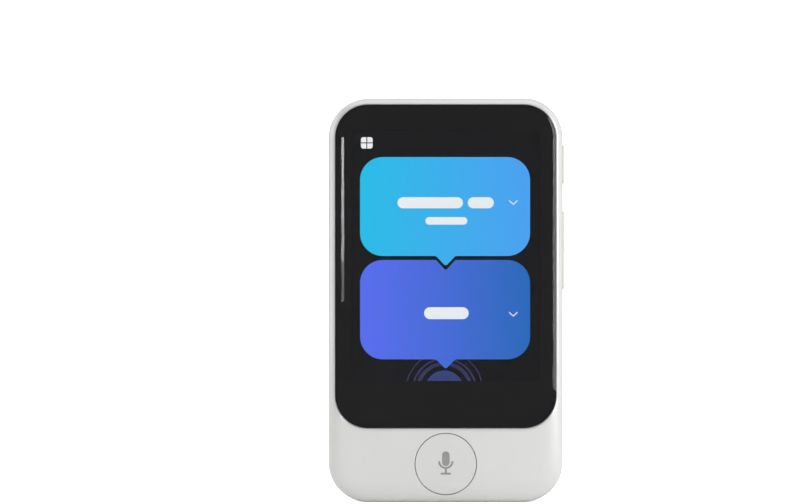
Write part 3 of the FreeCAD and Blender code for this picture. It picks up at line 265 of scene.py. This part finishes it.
def wear(material, *names):
    """Put a finish on solids that keep their own shape."""
    for name in names:
        for holder in nodes[name].material_slots:
            holder.material = material
    print(material.name, "on", ", ".join(names))


# %% [markdown]
# ## The white shell
# The front and back shells, the side keys, the card tray's face and the talk button are moulded
# in the same glossy white plastic. It has a clear skin over a warm white, a very faint orange
# peel left by the mould, and no visible wear. The clear skin is the shader's coat layer.

# %% Finish the white plastic
shell_white = surface("shell_white", (0.80, 0.80, 0.775), (0.82, 0.82, 0.80), (0.30, 0.36),
                      drift=12, grain=0.6, depth=0.0012, Coat_Weight=0.9, Coat_Roughness=0.08)
key_white = surface("key_white", (0.79, 0.79, 0.77), (0.81, 0.81, 0.79), (0.28, 0.36),
                    drift=5, grain=0.4, depth=0.001, Coat_Weight=0.5, Coat_Roughness=0.1)
button_white = surface("button_white", (0.78, 0.78, 0.76), (0.80, 0.80, 0.785), (0.32, 0.4),
                       drift=5, grain=0.35, depth=0.0012, Coat_Weight=0.4, Coat_Roughness=0.12)
wear(shell_white, "front_housing", "rear_cover")
wear(key_white, "power_key", "volume_key", "sim_tray")
wear(button_white, "translate_button")

# %% [markdown]
# ## The cover glass
# The cover glass is one sheet with rounded edges, clear as far as the eye can tell. Clear glass
# a millimetre thick hardly bends what lies right behind it, so a mix of a see-through shader and
# a mirror looks the same as true refraction and stays free of noise. The mirror's share grows
# with the fifth power of how slantwise the surface is seen, which is close to Fresnel's law and
# is the same for both faces of the sheet.

# %% Finish the clear pieces


def clear_finish(name, tint, gloss, least, most, smear, dull):
    """A clear sheet that mirrors a share from least to most, with faint smears in its gloss."""
    material, tree, shader, place = start_material(name)
    tree.nodes.remove(shader)
    mirror = tree.nodes.new("ShaderNodeBsdfGlossy")
    mirror.inputs["Color"].default_value = gloss + (1,)
    through = tree.nodes.new("ShaderNodeBsdfTransparent")
    through.inputs["Color"].default_value = tint + (1,)
    slant = tree.nodes.new("ShaderNodeLayerWeight")
    slant.inputs["Blend"].default_value = 0.5
    power = tree.nodes.new("ShaderNodeMath")
    power.operation = "POWER"
    power.inputs[1].default_value = 5.0
    tree.links.new(slant.outputs["Facing"], power.inputs[0])
    mix = tree.nodes.new("ShaderNodeMixShader")
    smears = noise(tree, place, smear, 4.0, (1, 1, 3))
    tree.links.new(remap(tree, smears, 0.01, dull), mirror.inputs["Roughness"])
    ripple = tree.nodes.new("ShaderNodeBump")
    ripple.inputs["Distance"].default_value = 0.00004 * MM
    tree.links.new(smears, ripple.inputs["Height"])
    tree.links.new(ripple.outputs["Normal"], mirror.inputs["Normal"])
    tree.links.new(remap(tree, power.outputs[0], least, most, 0, 1), mix.inputs["Fac"])
    tree.links.new(through.outputs["BSDF"], mix.inputs[1])
    tree.links.new(mirror.outputs["BSDF"], mix.inputs[2])
    tree.links.new(mix.outputs["Shader"], tree.nodes["Material Output"].inputs["Surface"])
    return material


cover_clear = clear_finish("cover_glass", (0.97, 0.975, 0.98), (1, 1, 1), 0.021, 0.7, 25, 0.015)
film_clear = clear_finish("touch_film", (0.99, 0.99, 0.985), (0.2, 0.2, 0.2), 0.004, 0.1, 3, 0.15)
wear(film_clear, "touch_sensor")

# %% [markdown]
# ## Grinding the cover glass
# The glass curves down at its sides and top, and carries on the shell's own rounding, while its
# foot meets the chin flat. A block gets round corners, its front face is inset again and again,
# and each point of those rings is then let down by as much as the shell is at that place. Rings
# this close together keep the reflected line of light straight.

# %% Let the front down along the shell's rounding
BODY_HALF, BODY_TALL, BODY_CORNER = 26.55, 91.6, 9.0
EDGE_WIDE, EDGE_DEEP = 4.5, 2.4


def edge_drop(x, z):
    """How far, in mm, the shell's front lies behind its flat middle at x, z."""
    along = abs(x) - BODY_HALF + BODY_CORNER
    up = abs(z - BODY_TALL / 2) - BODY_TALL / 2 + BODY_CORNER
    outside = math.hypot(max(along, 0), max(up, 0)) + min(max(along, up), 0)
    run = EDGE_WIDE - (BODY_CORNER - outside)
    return EDGE_DEEP * (1 - math.sqrt(1 - (run / EDGE_WIDE) ** 2)) if run > 0 else 0.0


GLASS_HALF, GLASS_CORNER = 25.12, 7.55
RINGS, RING_STEP = 14, 0.25
glass = slab("cover_sheet", -GLASS_HALF, GLASS_HALF, GLASS_FRONT, GLASS_BACK, 16.72, 90.17)
pick_edges(glass, along_y)
bevel(GLASS_CORNER, 40)
pick_faces(glass, lambda middle, normal: normal.y < -0.9)
for _ in range(RINGS):
    bpy.ops.mesh.inset(thickness=RING_STEP * MM)
bpy.ops.object.mode_set(mode="OBJECT")
for vertex in glass.data.vertices:
    if vertex.co.y < -5.7 * MM:
        vertex.co.y += edge_drop(vertex.co.x / MM, vertex.co.z / MM) * MM
dress(glass, cover_clear)
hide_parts("cover_glass")

# %% [markdown]
# ## The display
# Behind the glass lies the display: a dark sheet of glass with a driver ledge at its foot, seen
# through a printed black border. The border is a frame with a rounded window. It is made from a
# block with round corners, out of whose middle a second rounded block cuts the window.

# %% Build the display sheet and the printed border
BORDER = (-25.0, 25.0, 16.85, 90.05)
WINDOW = (-21.35, 21.35, 27.5, 84.4)

display_black = surface("display_glass", (0.0035, 0.0035, 0.005), (0.006, 0.006, 0.008),
                        (0.16, 0.22), drift=10, grain=0.06, depth=0.0004,
                        Specular_IOR_Level=0.1)
border_black = surface("border_black", (0.004, 0.004, 0.005), (0.007, 0.007, 0.008),
                       (0.35, 0.5), drift=8, grain=0.08, depth=0.0005,
                       Specular_IOR_Level=0.15)

sheet = slab("display_sheet", -22.4, 22.4, -4.44, -3.85, 25.7, 86.2)
pick_edges(sheet, along_y)
bevel(0.4, 4)
pick_faces(sheet, lambda middle, normal: normal.z < -0.9)
bpy.ops.mesh.extrude_region_move(TRANSFORM_OT_translate={"value": (0, 0, -3.2 * MM)})
bpy.ops.object.mode_set(mode="OBJECT")
for vertex in sheet.data.vertices:
    if vertex.co.z < 25 * MM and vertex.co.y < -4.2 * MM:
        vertex.co.y = -4.15 * MM
dress(sheet, display_black)
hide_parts("lcd_panel")

border = slab("printed_border", BORDER[0], BORDER[1], -4.665, -4.652, BORDER[2], BORDER[3])
pick_edges(border, along_y)
bevel(7.4, 24)
cutter = slab("window_cutter", WINDOW[0], WINDOW[1], -5.2, -4.2, WINDOW[2], WINDOW[3])
pick_edges(cutter, along_y)
bevel(1.2, 10)
cut = border.modifiers.new("window", "BOOLEAN")
cut.object = cutter
cut.solver = "EXACT"
clear_selection()
bpy.context.view_layer.objects.active = border
bpy.ops.object.modifier_apply(modifier=cut.name)
bpy.data.objects.remove(cutter)
dress(border, border_black)

# %% [markdown]
# ## The picture on the display
# The lit picture is built as thin plates on the display, each a few hundredths of a millimetre
# thick, so that it can be seen from any side. Two speech bubbles, a menu tile and a sound wave
# are generic signs. The words inside them are left as plain rounded bars.
# Each plate gives off its own light. A gradient across it is a ramp on Object coordinates.

# %% Helper for light that fades across a plate


def lit_finish(name, first, second, low, high, axis=0, strength=1.0):
    """Light that goes from one colour at low mm to another at high mm along X (0) or Z (2)."""
    material, tree, shader, place = start_material(name)
    split = tree.nodes.new("ShaderNodeSeparateXYZ")
    tree.links.new(place, split.inputs["Vector"])
    share = remap(tree, split.outputs[axis], 0, 1, low * MM, high * MM)
    glow = blend_colours(tree, share, first, second)
    pixels = noise(tree, place, 0.08, 1.0)
    deeper = blend_colours(tree, remap(tree, pixels, 0, 0.12), glow, (0.0, 0.0, 0.0))
    tree.links.new(deeper, shader.inputs["Emission Color"])
    tree.links.new(remap(tree, pixels, 0.2, 0.3), shader.inputs["Roughness"])
    shader.inputs["Base Color"].default_value = (0.004, 0.004, 0.004, 1)
    shader.inputs["Emission Strength"].default_value = strength
    return material


def srgb(red, green, blue):
    """A colour as screens count it, turned into the linear light that shaders use."""
    return tuple(((v / 255 + 0.055) / 1.055) ** 2.4 for v in (red, green, blue))


sky_light = lit_finish("sky_light", srgb(0, 198, 246), srgb(70, 168, 255), -19.4, 19.1)
violet_light = lit_finish("violet_light", srgb(84, 110, 249), srgb(10, 105, 195), -17, 19.1)
white_light = lit_finish("white_light", srgb(250, 252, 255), srgb(244, 250, 255), -19, 19)
wave_light = lit_finish("wave_light", srgb(34, 52, 120), srgb(44, 60, 122), 26, 30, axis=2)
ripple_light = lit_finish("ripple_light", srgb(44, 42, 96), srgb(30, 32, 72), 27, 33, axis=2)

# %% Model a speech bubble from a block
BUBBLE_SIDES = (-19.4, 19.1)
BUBBLE_DEPTH = (-4.48, -4.46)
TAIL_HALF, NOTCH_HALF = 2.2, 3.2


def bubble(name, z0, z1, tail, notch):
    """A rounded plate with a pointed tail at its foot and, where notch is set, one let into it."""
    plate = slab(name, *BUBBLE_SIDES, *BUBBLE_DEPTH, z0, z1)
    pick_edges(plate, along_y)
    bevel(5.2, 20)
    for x in (-NOTCH_HALF, -TAIL_HALF, 0, TAIL_HALF, NOTCH_HALF):
        slice_piece(plate, (x, 0, 0), (1, 0, 0))
    for vertex in plate.data.vertices:
        at = vertex.co / MM
        if abs(at.x) < 0.01 and abs(at.z - z0) < 0.01:
            vertex.co.z -= tail * MM
        if notch and abs(at.x) < 0.01 and abs(at.z - z1) < 0.01:
            vertex.co.z -= notch * MM
    pick_edges(plate, lambda a, b: along_y(a, b) and abs(a.x) < 0.01)
    bevel(0.5, 5)
    ends = [(TAIL_HALF, z0)] + ([(NOTCH_HALF, z1)] if notch else [])
    for x, z in ends:
        pick_edges(plate, lambda a, b: along_y(a, b) and abs(abs(a.x) - x) < 0.01
                   and abs(a.z - z) < 0.01)
        bevel(0.35, 4)
    return plate


upper = bubble("bubble_upper", 55.8, 78.2, 2.3, 0)
lower = bubble("bubble_lower", 32.4, 54.9, 2.2, 2.4)
dress(upper, sky_light)
dress(lower, violet_light)

# %% [markdown]
# ## The small signs
# The words, arrows and menu tiles are plates too thin to feel. A bar becomes a rounded one by a
# bevel as wide as half its height. An arrow is a bar cut in half whose middle is pulled down.
# The menu sign is four tiles: one is modelled and the others are copies with their own meshes.

# %% Copy a piece that repeats


def copy_piece(piece, name, dx=0, dz=0):
    """A copy with its own mesh, moved by dx and dz mm inside that mesh."""
    twin = piece.copy()
    twin.data = piece.data.copy()
    twin.name = name
    for vertex in twin.data.vertices:
        vertex.co.x += dx * MM
        vertex.co.z += dz * MM
    bpy.context.scene.collection.objects.link(twin)
    return twin


# %% Model the bars, arrows and tiles
SIGN_DEPTH = (-4.495, -4.481)
BARS = {"bar_upper_main": (-10.9, 3.9, 66.6, 69.1), "bar_upper_side": (5.0, 10.9, 66.6, 69.1),
        "bar_upper_small": (-4.6, 4.9, 62.9, 64.6), "bar_lower_main": (-4.9, 5.2, 41.5, 44.2)}
for name, (x0, x1, z0, z1) in BARS.items():
    bar = slab(name, x0, x1, *SIGN_DEPTH, z0, z1)
    pick_edges(bar, along_y)
    bevel((z1 - z0) * 0.499, 10)
    dress(bar, white_light)

ARROW_MIDDLE = 15.3
arrow = slab("arrow_upper", 14.35, 16.25, *SIGN_DEPTH, 68.2, 68.5)
slice_piece(arrow, (ARROW_MIDDLE, 0, 0), (1, 0, 0))
for vertex in arrow.data.vertices:
    if abs(vertex.co.x - ARROW_MIDDLE * MM) < 1e-6:
        vertex.co.z -= 0.85 * MM
pick_edges(arrow, along_y)
bevel(0.06, 3)
arrow_twin = copy_piece(arrow, "arrow_lower", dz=-25.3)
dress(arrow, white_light)
dress(arrow_twin, white_light)

TILE_MIDDLE, TILE_STEP = (-18.59, 82.11), (1.44, -1.4)
tile = slab("menu_tile_1", -19.2, -17.98, *SIGN_DEPTH, 81.52, 82.7)
pick_edges(tile, lambda a, b: along_y(a, b) and a.x < -19 and a.z > 82)
bevel(0.55, 8)
for name, right, down in (("menu_tile_2", 1, 0), ("menu_tile_3", 0, 1), ("menu_tile_4", 1, 1)):
    twin = copy_piece(tile, name)
    for vertex in twin.data.vertices:
        for axis, turned, middle, step in ((0, right, TILE_MIDDLE[0], TILE_STEP[0]),
                                           (2, down, TILE_MIDDLE[1], TILE_STEP[1])):
            if turned:
                vertex.co[axis] = (middle + step) * MM - (vertex.co[axis] - middle * MM)
    clear_selection()
    bpy.context.view_layer.objects.active = twin
    bpy.ops.object.mode_set(mode="EDIT")
    bpy.ops.mesh.select_all(action="SELECT")
    bpy.ops.mesh.normals_make_consistent(inside=False)
    bpy.ops.object.mode_set(mode="OBJECT")
    dress(twin, white_light)
dress(tile, white_light)

# %% [markdown]
# ## The sound wave
# Under the bubbles a small dome and three rings stand for sound. Each starts as a disc. A ring
# is a disc whose two round faces are inset by the ring's width and then bridged through. All of
# them are cut off straight along the foot of the picture.

# %% Model the wave
WAVE_CENTRE = (-0.3, 25.4)
WAVE_DEPTH = (-4.459, -4.44)


def trim_foot(piece):
    """Cut away all of the piece below the picture's foot and close the cut."""
    slice_piece(piece, (0, 0, WINDOW[2]), (0, 0, 1), use_fill=True, clear_inner=True)


def ring(name, centre, radius, width, y0, y1, sides=96):
    """A flat ring: a disc whose faces are inset and bridged."""
    piece = disc(name, centre, radius, y0, y1, sides)
    pick_faces(piece, lambda middle, normal: abs(normal.y) > 0.9)
    bpy.ops.mesh.inset(thickness=width * MM)
    bpy.ops.mesh.bridge_edge_loops()
    bpy.ops.object.mode_set(mode="OBJECT")
    return piece


dome = disc("wave_dome", WAVE_CENTRE, 4.47, *WAVE_DEPTH)
trim_foot(dome)
dress(dome, wave_light)
for count, (radius, width) in enumerate(((6.45, 0.85), (7.35, 0.45), (8.8, 0.28))):
    hoop = ring(f"wave_ring_{count + 1}", WAVE_CENTRE, radius, width, *WAVE_DEPTH)
    trim_foot(hoop)
    dress(hoop, ripple_light)

# %% [markdown]
# ## Trim, symbol and the other outside finishes
# A thin bright lip runs round the glass. The sign on the talk button is grey and sunk a little.
# The port is bright steel with a black tongue and gold contacts.

# %% Finish the metal and the small outside parts
trim_bright = surface("trim_bright", (0.74, 0.745, 0.75), (0.80, 0.80, 0.805), (0.26, 0.36),
                      drift=6, grain=0.08, depth=0.0006, metal=0.25)
# This grey is the printed sign on the talk button, and also painted shade in the ring under the
# lamp's lens rim.
symbol_grey = surface("symbol_grey", (0.30, 0.305, 0.30), (0.38, 0.385, 0.38), (0.4, 0.5),
                      drift=1.5, grain=0.12, depth=0.001)
steel = surface("brushed_steel", (0.50, 0.50, 0.49), (0.66, 0.66, 0.65), (0.18, 0.36),
                drift=1.5, grain=0.05, depth=0.001, metal=1.0, stretch=(1, 1, 12))
gold = surface("contact_gold", (0.83, 0.62, 0.27), (0.95, 0.74, 0.36), (0.18, 0.3),
               drift=0.8, grain=0.05, depth=0.0008, metal=1.0)
wear(trim_bright, "glass_trim_ring", "camera_ring")
wear(symbol_grey, "button_symbol")
wear(steel, "usb_shell", "chassis_screws", "board_screws", "sim_eject_rod", "sim_eject_lever",
     "sim_lever_pin", "translate_dome", "side_key_domes")
wear(gold, "usb_contacts", "antenna_trace")

# %% [markdown]
# ## The inside
# The inside isn't in the photograph, so these finishes are guesses from what is usual: magnesium
# for the chassis, tin on the shields, dark green boards with copper under the varnish, amber
# cables, black resin chips, a grey foil battery, soft black rubber where dust is kept out.

# %% Finish the chassis, shields and screws
chassis = surface("cast_metal", (0.33, 0.335, 0.34), (0.44, 0.445, 0.45), (0.42, 0.6),
                  drift=6, grain=0.12, depth=0.004, metal=0.9)
tin = surface("tinned_sheet", (0.62, 0.63, 0.64), (0.75, 0.76, 0.77), (0.25, 0.42),
              drift=3, grain=0.1, depth=0.0015, metal=1.0, stretch=(6, 1, 1))
black_steel = surface("black_steel", (0.025, 0.025, 0.027), (0.05, 0.05, 0.053), (0.3, 0.45),
                      drift=2, grain=0.07, depth=0.001, metal=0.7)
wear(chassis, "mid_frame", "side_key_bracket")
wear(tin, "processor_shield", "power_shield", "radio_shield", "sim_reader")
wear(black_steel, "camera_module")

# %% Finish the plastics, rubber, glue and films
rubber = surface("soft_rubber", (0.018, 0.018, 0.019), (0.035, 0.035, 0.036), (0.6, 0.8),
                 drift=1.5, grain=0.09, depth=0.004)
seal_rubber = surface("seal_rubber", (0.05, 0.05, 0.052), (0.08, 0.08, 0.083), (0.5, 0.7),
                      drift=1.5, grain=0.07, depth=0.003)
glue_black = surface("black_glue", (0.012, 0.012, 0.013), (0.03, 0.03, 0.03), (0.45, 0.7),
                     drift=2, grain=0.1, depth=0.006)
socket_black = surface("socket_black", (0.02, 0.02, 0.021), (0.035, 0.035, 0.036), (0.35, 0.5),
                       drift=1.2, grain=0.06, depth=0.002)
barrel_black = surface("barrel_black", (0.010, 0.010, 0.012), (0.022, 0.022, 0.025), (0.3, 0.5),
                       drift=1.5, grain=0.05, depth=0.001)
carrier_grey = surface("carrier_grey", (0.16, 0.165, 0.17), (0.22, 0.225, 0.23), (0.45, 0.6),
                       drift=5, grain=0.12, depth=0.003)
cone_grey = surface("cone_grey", (0.10, 0.10, 0.105), (0.16, 0.16, 0.165), (0.5, 0.7),
                    drift=1, grain=0.06, depth=0.004)
card_white = surface("card_white", (0.70, 0.70, 0.69), (0.76, 0.76, 0.75), (0.35, 0.45),
                     drift=3, grain=0.1, depth=0.001)
lamp_cream = surface("lamp_cream", (0.86, 0.80, 0.58), (0.92, 0.88, 0.70), (0.3, 0.5),
                     drift=0.4, grain=0.05, depth=0.002)
tape_clear = surface("clear_tape", (0.60, 0.58, 0.52), (0.70, 0.68, 0.63), (0.15, 0.35),
                     drift=2, grain=0.2, depth=0.004)
light_guide = surface("light_guide", (0.78, 0.80, 0.82), (0.86, 0.87, 0.88), (0.2, 0.3),
                      drift=4, grain=0.12, depth=0.001)
wear(rubber, "button_pad", "camera_gasket", "rubber_seals")
wear(seal_rubber, "sim_tray_seal")
wear(glue_black, "glass_adhesive")
wear(socket_black, "board_connectors", "usb_tongue", "loudspeakers", "microphones")
wear(carrier_grey, "antenna_carrier")
wear(cone_grey, "speaker_cones")
wear(card_white, "sim_card")
wear(lamp_cream, "button_lamps", "flash_led")
wear(tape_clear, "battery_tape")
wear(light_guide, "backlight_unit")

# %% Finish the boards with copper tracks under green varnish


def board_finish(name, varnish, copper, pitch):
    """Varnish over copper: cells of a Voronoi pattern stand for the tracks' raised outlines."""
    material, tree, shader, place = start_material(name)
    mapping = tree.nodes.new("ShaderNodeMapping")
    mapping.inputs["Scale"].default_value = [1 / (pitch * MM)] * 3
    cells = tree.nodes.new("ShaderNodeTexVoronoi")
    cells.distance = "CHEBYCHEV"
    cells.feature = "F1"
    tree.links.new(place, mapping.inputs["Vector"])
    tree.links.new(mapping.outputs["Vector"], cells.inputs["Vector"])
    cells.inputs["Scale"].default_value = 1.0
    tracks = remap(tree, cells.outputs["Distance"], 0, 1, 0.42, 0.46)
    tree.links.new(blend_colours(tree, tracks, varnish, copper), shader.inputs["Base Color"])
    gloss = noise(tree, place, 0.6)
    tree.links.new(remap(tree, gloss, 0.25, 0.4), shader.inputs["Roughness"])
    raise_bumps(tree, shader, tracks, 0.006)
    shader.inputs["Coat Weight"].default_value = 0.4
    return material


board_green = board_finish("board_green", (0.010, 0.055, 0.030), (0.03, 0.12, 0.06), 0.9)
flex_amber = board_finish("flex_amber", (0.42, 0.16, 0.03), (0.60, 0.28, 0.07), 0.5)
wear(board_green, "main_board", "low_board", "button_board")
wear(flex_amber, "camera_flex", "battery_lead", "interconnect_flex", "display_flex",
     "side_key_flex")

# %% Finish the chips, the battery and the speaker cloth
chip_black = surface("chip_black", (0.02, 0.02, 0.022), (0.045, 0.045, 0.047), (0.4, 0.55),
                     drift=0.8, grain=0.06, depth=0.002)
battery_foil = surface("battery_foil", (0.20, 0.205, 0.21), (0.30, 0.305, 0.31), (0.28, 0.45),
                       drift=7, grain=0.5, depth=0.01, metal=0.7)
mesh_black = surface("mesh_black", (0.012, 0.012, 0.012), (0.06, 0.06, 0.06), (0.5, 0.7),
                     drift=0.12, grain=0.05, depth=0.02, metal=0.4)
wear(chip_black, "board_chips")
wear(battery_foil, "battery")

# %% [markdown]
# ## The back camera
# Through a black window with a clear middle one looks into the lens: a black barrel with steps
# that catch stray light, and a lens with a violet coating. The steps are made by insetting the
# barrel's face and pushing each new face deeper, the way a lathe would cut them. The barrel and
# its lens ride on the body that the focus motor moves.

# %% Turn the barrel, step by step
CAMERA = (0, 78.06)
BARREL_STEPS = ((0.22, 0), (0.10, -0.22), (0.22, 0), (0.08, -0.28), (0.24, 0), (0.08, -0.30),
                (0.20, 0), (0.22, -0.12), (0.02, -1.10), (0.42, 0), (0.03, -0.45))
barrel = disc("lens_barrel", CAMERA, 2.48, 0.12, 4.18)
turn_steps(barrel, BARREL_STEPS)
dress(barrel, barrel_black, "focus_barrel")
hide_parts("camera_lens_barrel")

# %% Cut the lenses from flattened balls
coated_lens = clear_finish("coated_lens", (0.35, 0.36, 0.60), (0.52, 0.38, 1.0), 0.27, 0.9, 2, 0.03)


def lens(name, radius, bulge, flat_y):
    """A lens that is flat at flat_y and bulges towards the back by bulge mm."""
    clear_selection()
    bpy.ops.mesh.primitive_uv_sphere_add(
        segments=64, ring_count=32, radius=radius * MM,
        location=(CAMERA[0] * MM, flat_y * MM, CAMERA[1] * MM), rotation=(math.radians(90), 0, 0))
    piece = bpy.context.object
    piece.name = name
    bpy.ops.object.transform_apply()
    slice_piece(piece, (0, flat_y, 0), (0, 1, 0), use_fill=True, clear_inner=True)
    for vertex in piece.data.vertices:
        vertex.co.y = (flat_y + (vertex.co.y / MM - flat_y) * bulge / radius) * MM
    pick_faces(piece, lambda middle, normal: normal.y < -0.9)
    bpy.ops.mesh.extrude_region_move(TRANSFORM_OT_translate={"value": (0, -0.2 * MM, 0)})
    bpy.ops.mesh.inset(thickness=0.12 * MM)
    bpy.ops.object.mode_set(mode="OBJECT")
    return piece


front_lens = lens("front_lens", 1.04, 0.48, 2.85)
dress(front_lens, coated_lens, "focus_barrel")
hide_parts("front_lens_element")
inner_lens = lens("inner_lens", 0.5, 0.25, 1.9)
dress(inner_lens, coated_lens, "focus_barrel")

# %% Set the window over its black mask
window_clear = clear_finish("window_clear", (0.80, 0.80, 0.83), (1, 1, 1), 0.034, 0.8, 3, 0.02)
mask_black = surface("mask_black", (0.006, 0.006, 0.007), (0.010, 0.010, 0.011), (0.3, 0.45),
                     drift=2, grain=0.06, depth=0.0005)
window = disc("camera_glass", CAMERA, 3.14, 4.975, 5.67, 128)
pick_edges(window, lambda a, b: on_plane(a, b, 5.67))
bevel(0.2, 4)
dress(window, window_clear)
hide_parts("camera_window")
mask = ring("window_mask", CAMERA, 3.14, 1.72, 4.953, 4.972, 128)
dress(mask, mask_black)

# %% [markdown]
# ## The lamp
# The lamp's lens is a clear plug with a light pipe behind it. Its front has a few stepped rings,
# which spread the light. A frosted dish with facets lies inside the pipe, as though moulded into
# it: it is there for the look alone. A grey ring under the lens rim is painted shade: it stands
# for the dark gap round the lens.

# %% Mould the lamp's lens
LAMP = (0, 70.8)
LAMP_STEPS = ((0.16, 0.03), (0.05, -0.06), (0.22, 0), (0.05, 0.06), (0.24, 0), (0.05, -0.06),
              (0.24, 0), (0.05, 0.06), (0.3, 0))
FACET_STEPS = ((0.08, 0), (0.3, -0.14), (0.22, 0.1), (0.2, -0.12))
lamp_clear = clear_finish("lamp_clear", (0.93, 0.94, 0.92), (1, 1, 1), 0.039, 0.8, 1, 0.06)
lamp_lens = disc("lamp_lens", LAMP, 1.6, 5.02, 5.66)
turn_steps(lamp_lens, LAMP_STEPS)
pick_faces(lamp_lens, lambda middle, normal: normal.y < -0.9)
bpy.ops.mesh.inset(thickness=0.66 * MM)
bpy.ops.mesh.extrude_region_move(TRANSFORM_OT_translate={"value": (0, -3.1 * MM, 0)})
bpy.ops.object.mode_set(mode="OBJECT")
dress(lamp_lens, lamp_clear)
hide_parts("flash_lens")

# %% Add the facets and the ring of painted shade
frost_white = surface("frost_white", (0.80, 0.80, 0.74), (0.90, 0.90, 0.86), (0.35, 0.6),
                      drift=0.5, grain=0.08, depth=0.004)
facets = disc("lamp_facets", LAMP, 0.92, 4.72, 4.99, 12)
turn_steps(facets, FACET_STEPS)
dress(facets, frost_white, angle=10)
# A grey ring of painted shade under the lens rim, standing for the dark gap round the lens.
rim_shade = ring("lamp_rim_shade", LAMP, 1.66, 0.2, 5.003, 5.018)
dress(rim_shade, symbol_grey)

# %% [markdown]
# ## The cloth behind the sound holes
# A woven steel cloth keeps dust out of the loudspeakers. A grid of squares gives its threads:
# the wireframe modifier turns every edge into a thin bar. One is made and the other is a copy.

# %% Weave the cloth
CLOTH_X, CLOTH_Y, CLOTH_Z = (7.7, 16.3), (-1.55, 0.15), 1.37
clear_selection()
bpy.ops.mesh.primitive_grid_add(x_subdivisions=70, y_subdivisions=14, size=1)
cloth = bpy.context.object
cloth.name = "speaker_cloth_right"
cloth.scale = ((CLOTH_X[1] - CLOTH_X[0]) * MM, (CLOTH_Y[1] - CLOTH_Y[0]) * MM, 1)
cloth.location = (sum(CLOTH_X) / 2 * MM, sum(CLOTH_Y) / 2 * MM, CLOTH_Z * MM)
bpy.ops.object.transform_apply()
threads = cloth.modifiers.new("threads", "WIREFRAME")
threads.thickness = 0.045 * MM
bpy.ops.object.modifier_apply(modifier=threads.name)
cloth_twin = copy_piece(cloth, "speaker_cloth_left", dx=-sum(CLOTH_X))
dress(cloth, mesh_black)
dress(cloth_twin, mesh_black)
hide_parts("speaker_meshes")

# %% [markdown]
# ## The floor and the light
# The photograph has a white ground and soft light from all round. A brighter window stands to
# the right of the camera. To its left are four narrow strips, one above the other, dimmer towards
# the foot. The curved edges of the glass pick them up as a grey fade and a thin white line that
# fades downwards. A curved sheet of white card is floor and backdrop.

# %% Build the paper sweep
clear_selection()
bpy.ops.mesh.primitive_plane_add(size=1, location=(0, 0, 0))
sweep = bpy.context.object
sweep.name = "paper_sweep"
sweep.scale = (4.0, 1.05, 1)
sweep.location = (0, 0.275, -0.02 * MM)
bpy.ops.object.transform_apply()
pick_edges(sweep, lambda a, b: a.y > 700 and b.y > 700)
bpy.ops.mesh.extrude_region_move(TRANSFORM_OT_translate={"value": (0, 0, 2.0)})
bpy.ops.object.mode_set(mode="OBJECT")
pick_edges(sweep, lambda a, b: min(a.y, b.y) > 700 and max(a.z, b.z) < 10)
bevel(350, 24)
paper, paper_tree, paper_shader, paper_place = start_material("white_paper")
fibres = noise(paper_tree, paper_place, 2.0, 4.0)
paper_tree.links.new(blend_colours(paper_tree, fibres, (0.76, 0.76, 0.76), (0.79, 0.79, 0.79)),
                     paper_shader.inputs["Base Color"])
raise_bumps(paper_tree, paper_shader, fibres, 0.02)
paper_shader.inputs["Roughness"].default_value = 0.9
paper_shader.inputs["Emission Color"].default_value = (1, 1, 1, 1)
rays = paper_tree.nodes.new("ShaderNodeLightPath")
paper_tree.links.new(remap(paper_tree, rays.outputs["Is Camera Ray"], 0, 0.8, 0, 1),
                     paper_shader.inputs["Emission Strength"])
sweep.data.materials.append(paper)
bpy.ops.object.shade_smooth_by_angle(angle=math.radians(30))

# %% Hang the lights


def window_light(name, place, aim, width, height, watts):
    """A flat soft light at place, in metres, turned to face the point aim."""
    data = bpy.data.lights.new(name, "AREA")
    data.shape = "RECTANGLE"
    data.size, data.size_y = width, height
    data.energy = watts
    lamp = bpy.data.objects.new(name, data)
    lamp.location = place
    away = lamp.location - Vector(aim)
    lamp.rotation_euler = away.to_track_quat("Z", "Y").to_euler()
    bpy.context.scene.collection.objects.link(lamp)
    print(name, "watts for each square metre:", round(watts / (width * height), 1))


MIDDLE = (0, 0, 0.046)
window_light("right_window", (0.275, -0.23, 0.13), MIDDLE, 0.15, 0.25, 0.75)
window_light("left_window", (-0.75, -0.03, 0.25), MIDDLE, 0.5, 0.6, 1.9)
STRIP_TALL, STRIP_WATTS = 0.0235, 0.25
for step, share in enumerate((0.26, 0.74, 0.9, 1.0)):
    height = 0.042 + STRIP_TALL * step
    window_light(f"left_strip_{step + 1}", (-0.345, -0.95, height), (0, 0, height), 0.16,
                 STRIP_TALL, STRIP_WATTS * share)
window_light("top_window", (0.0, -0.15, 0.85), MIDDLE, 0.9, 0.5, 1.6)
window_light("back_window", (-0.2, 0.55, 0.50), MIDDLE, 0.7, 0.5, 2.4)

# %% Let the studio behind the camera be dim and the ground white
world = bpy.data.worlds.new("studio")
world.use_nodes = True
around = world.node_tree.nodes["Background"]
around.inputs["Color"].default_value = (1, 1, 1, 1)
world_rays = world.node_tree.nodes.new("ShaderNodeLightPath")
world.node_tree.links.new(
    remap(world.node_tree, world_rays.outputs["Is Camera Ray"], 0.26, 1.0, 0, 1),
    around.inputs["Strength"])
bpy.context.scene.world = world
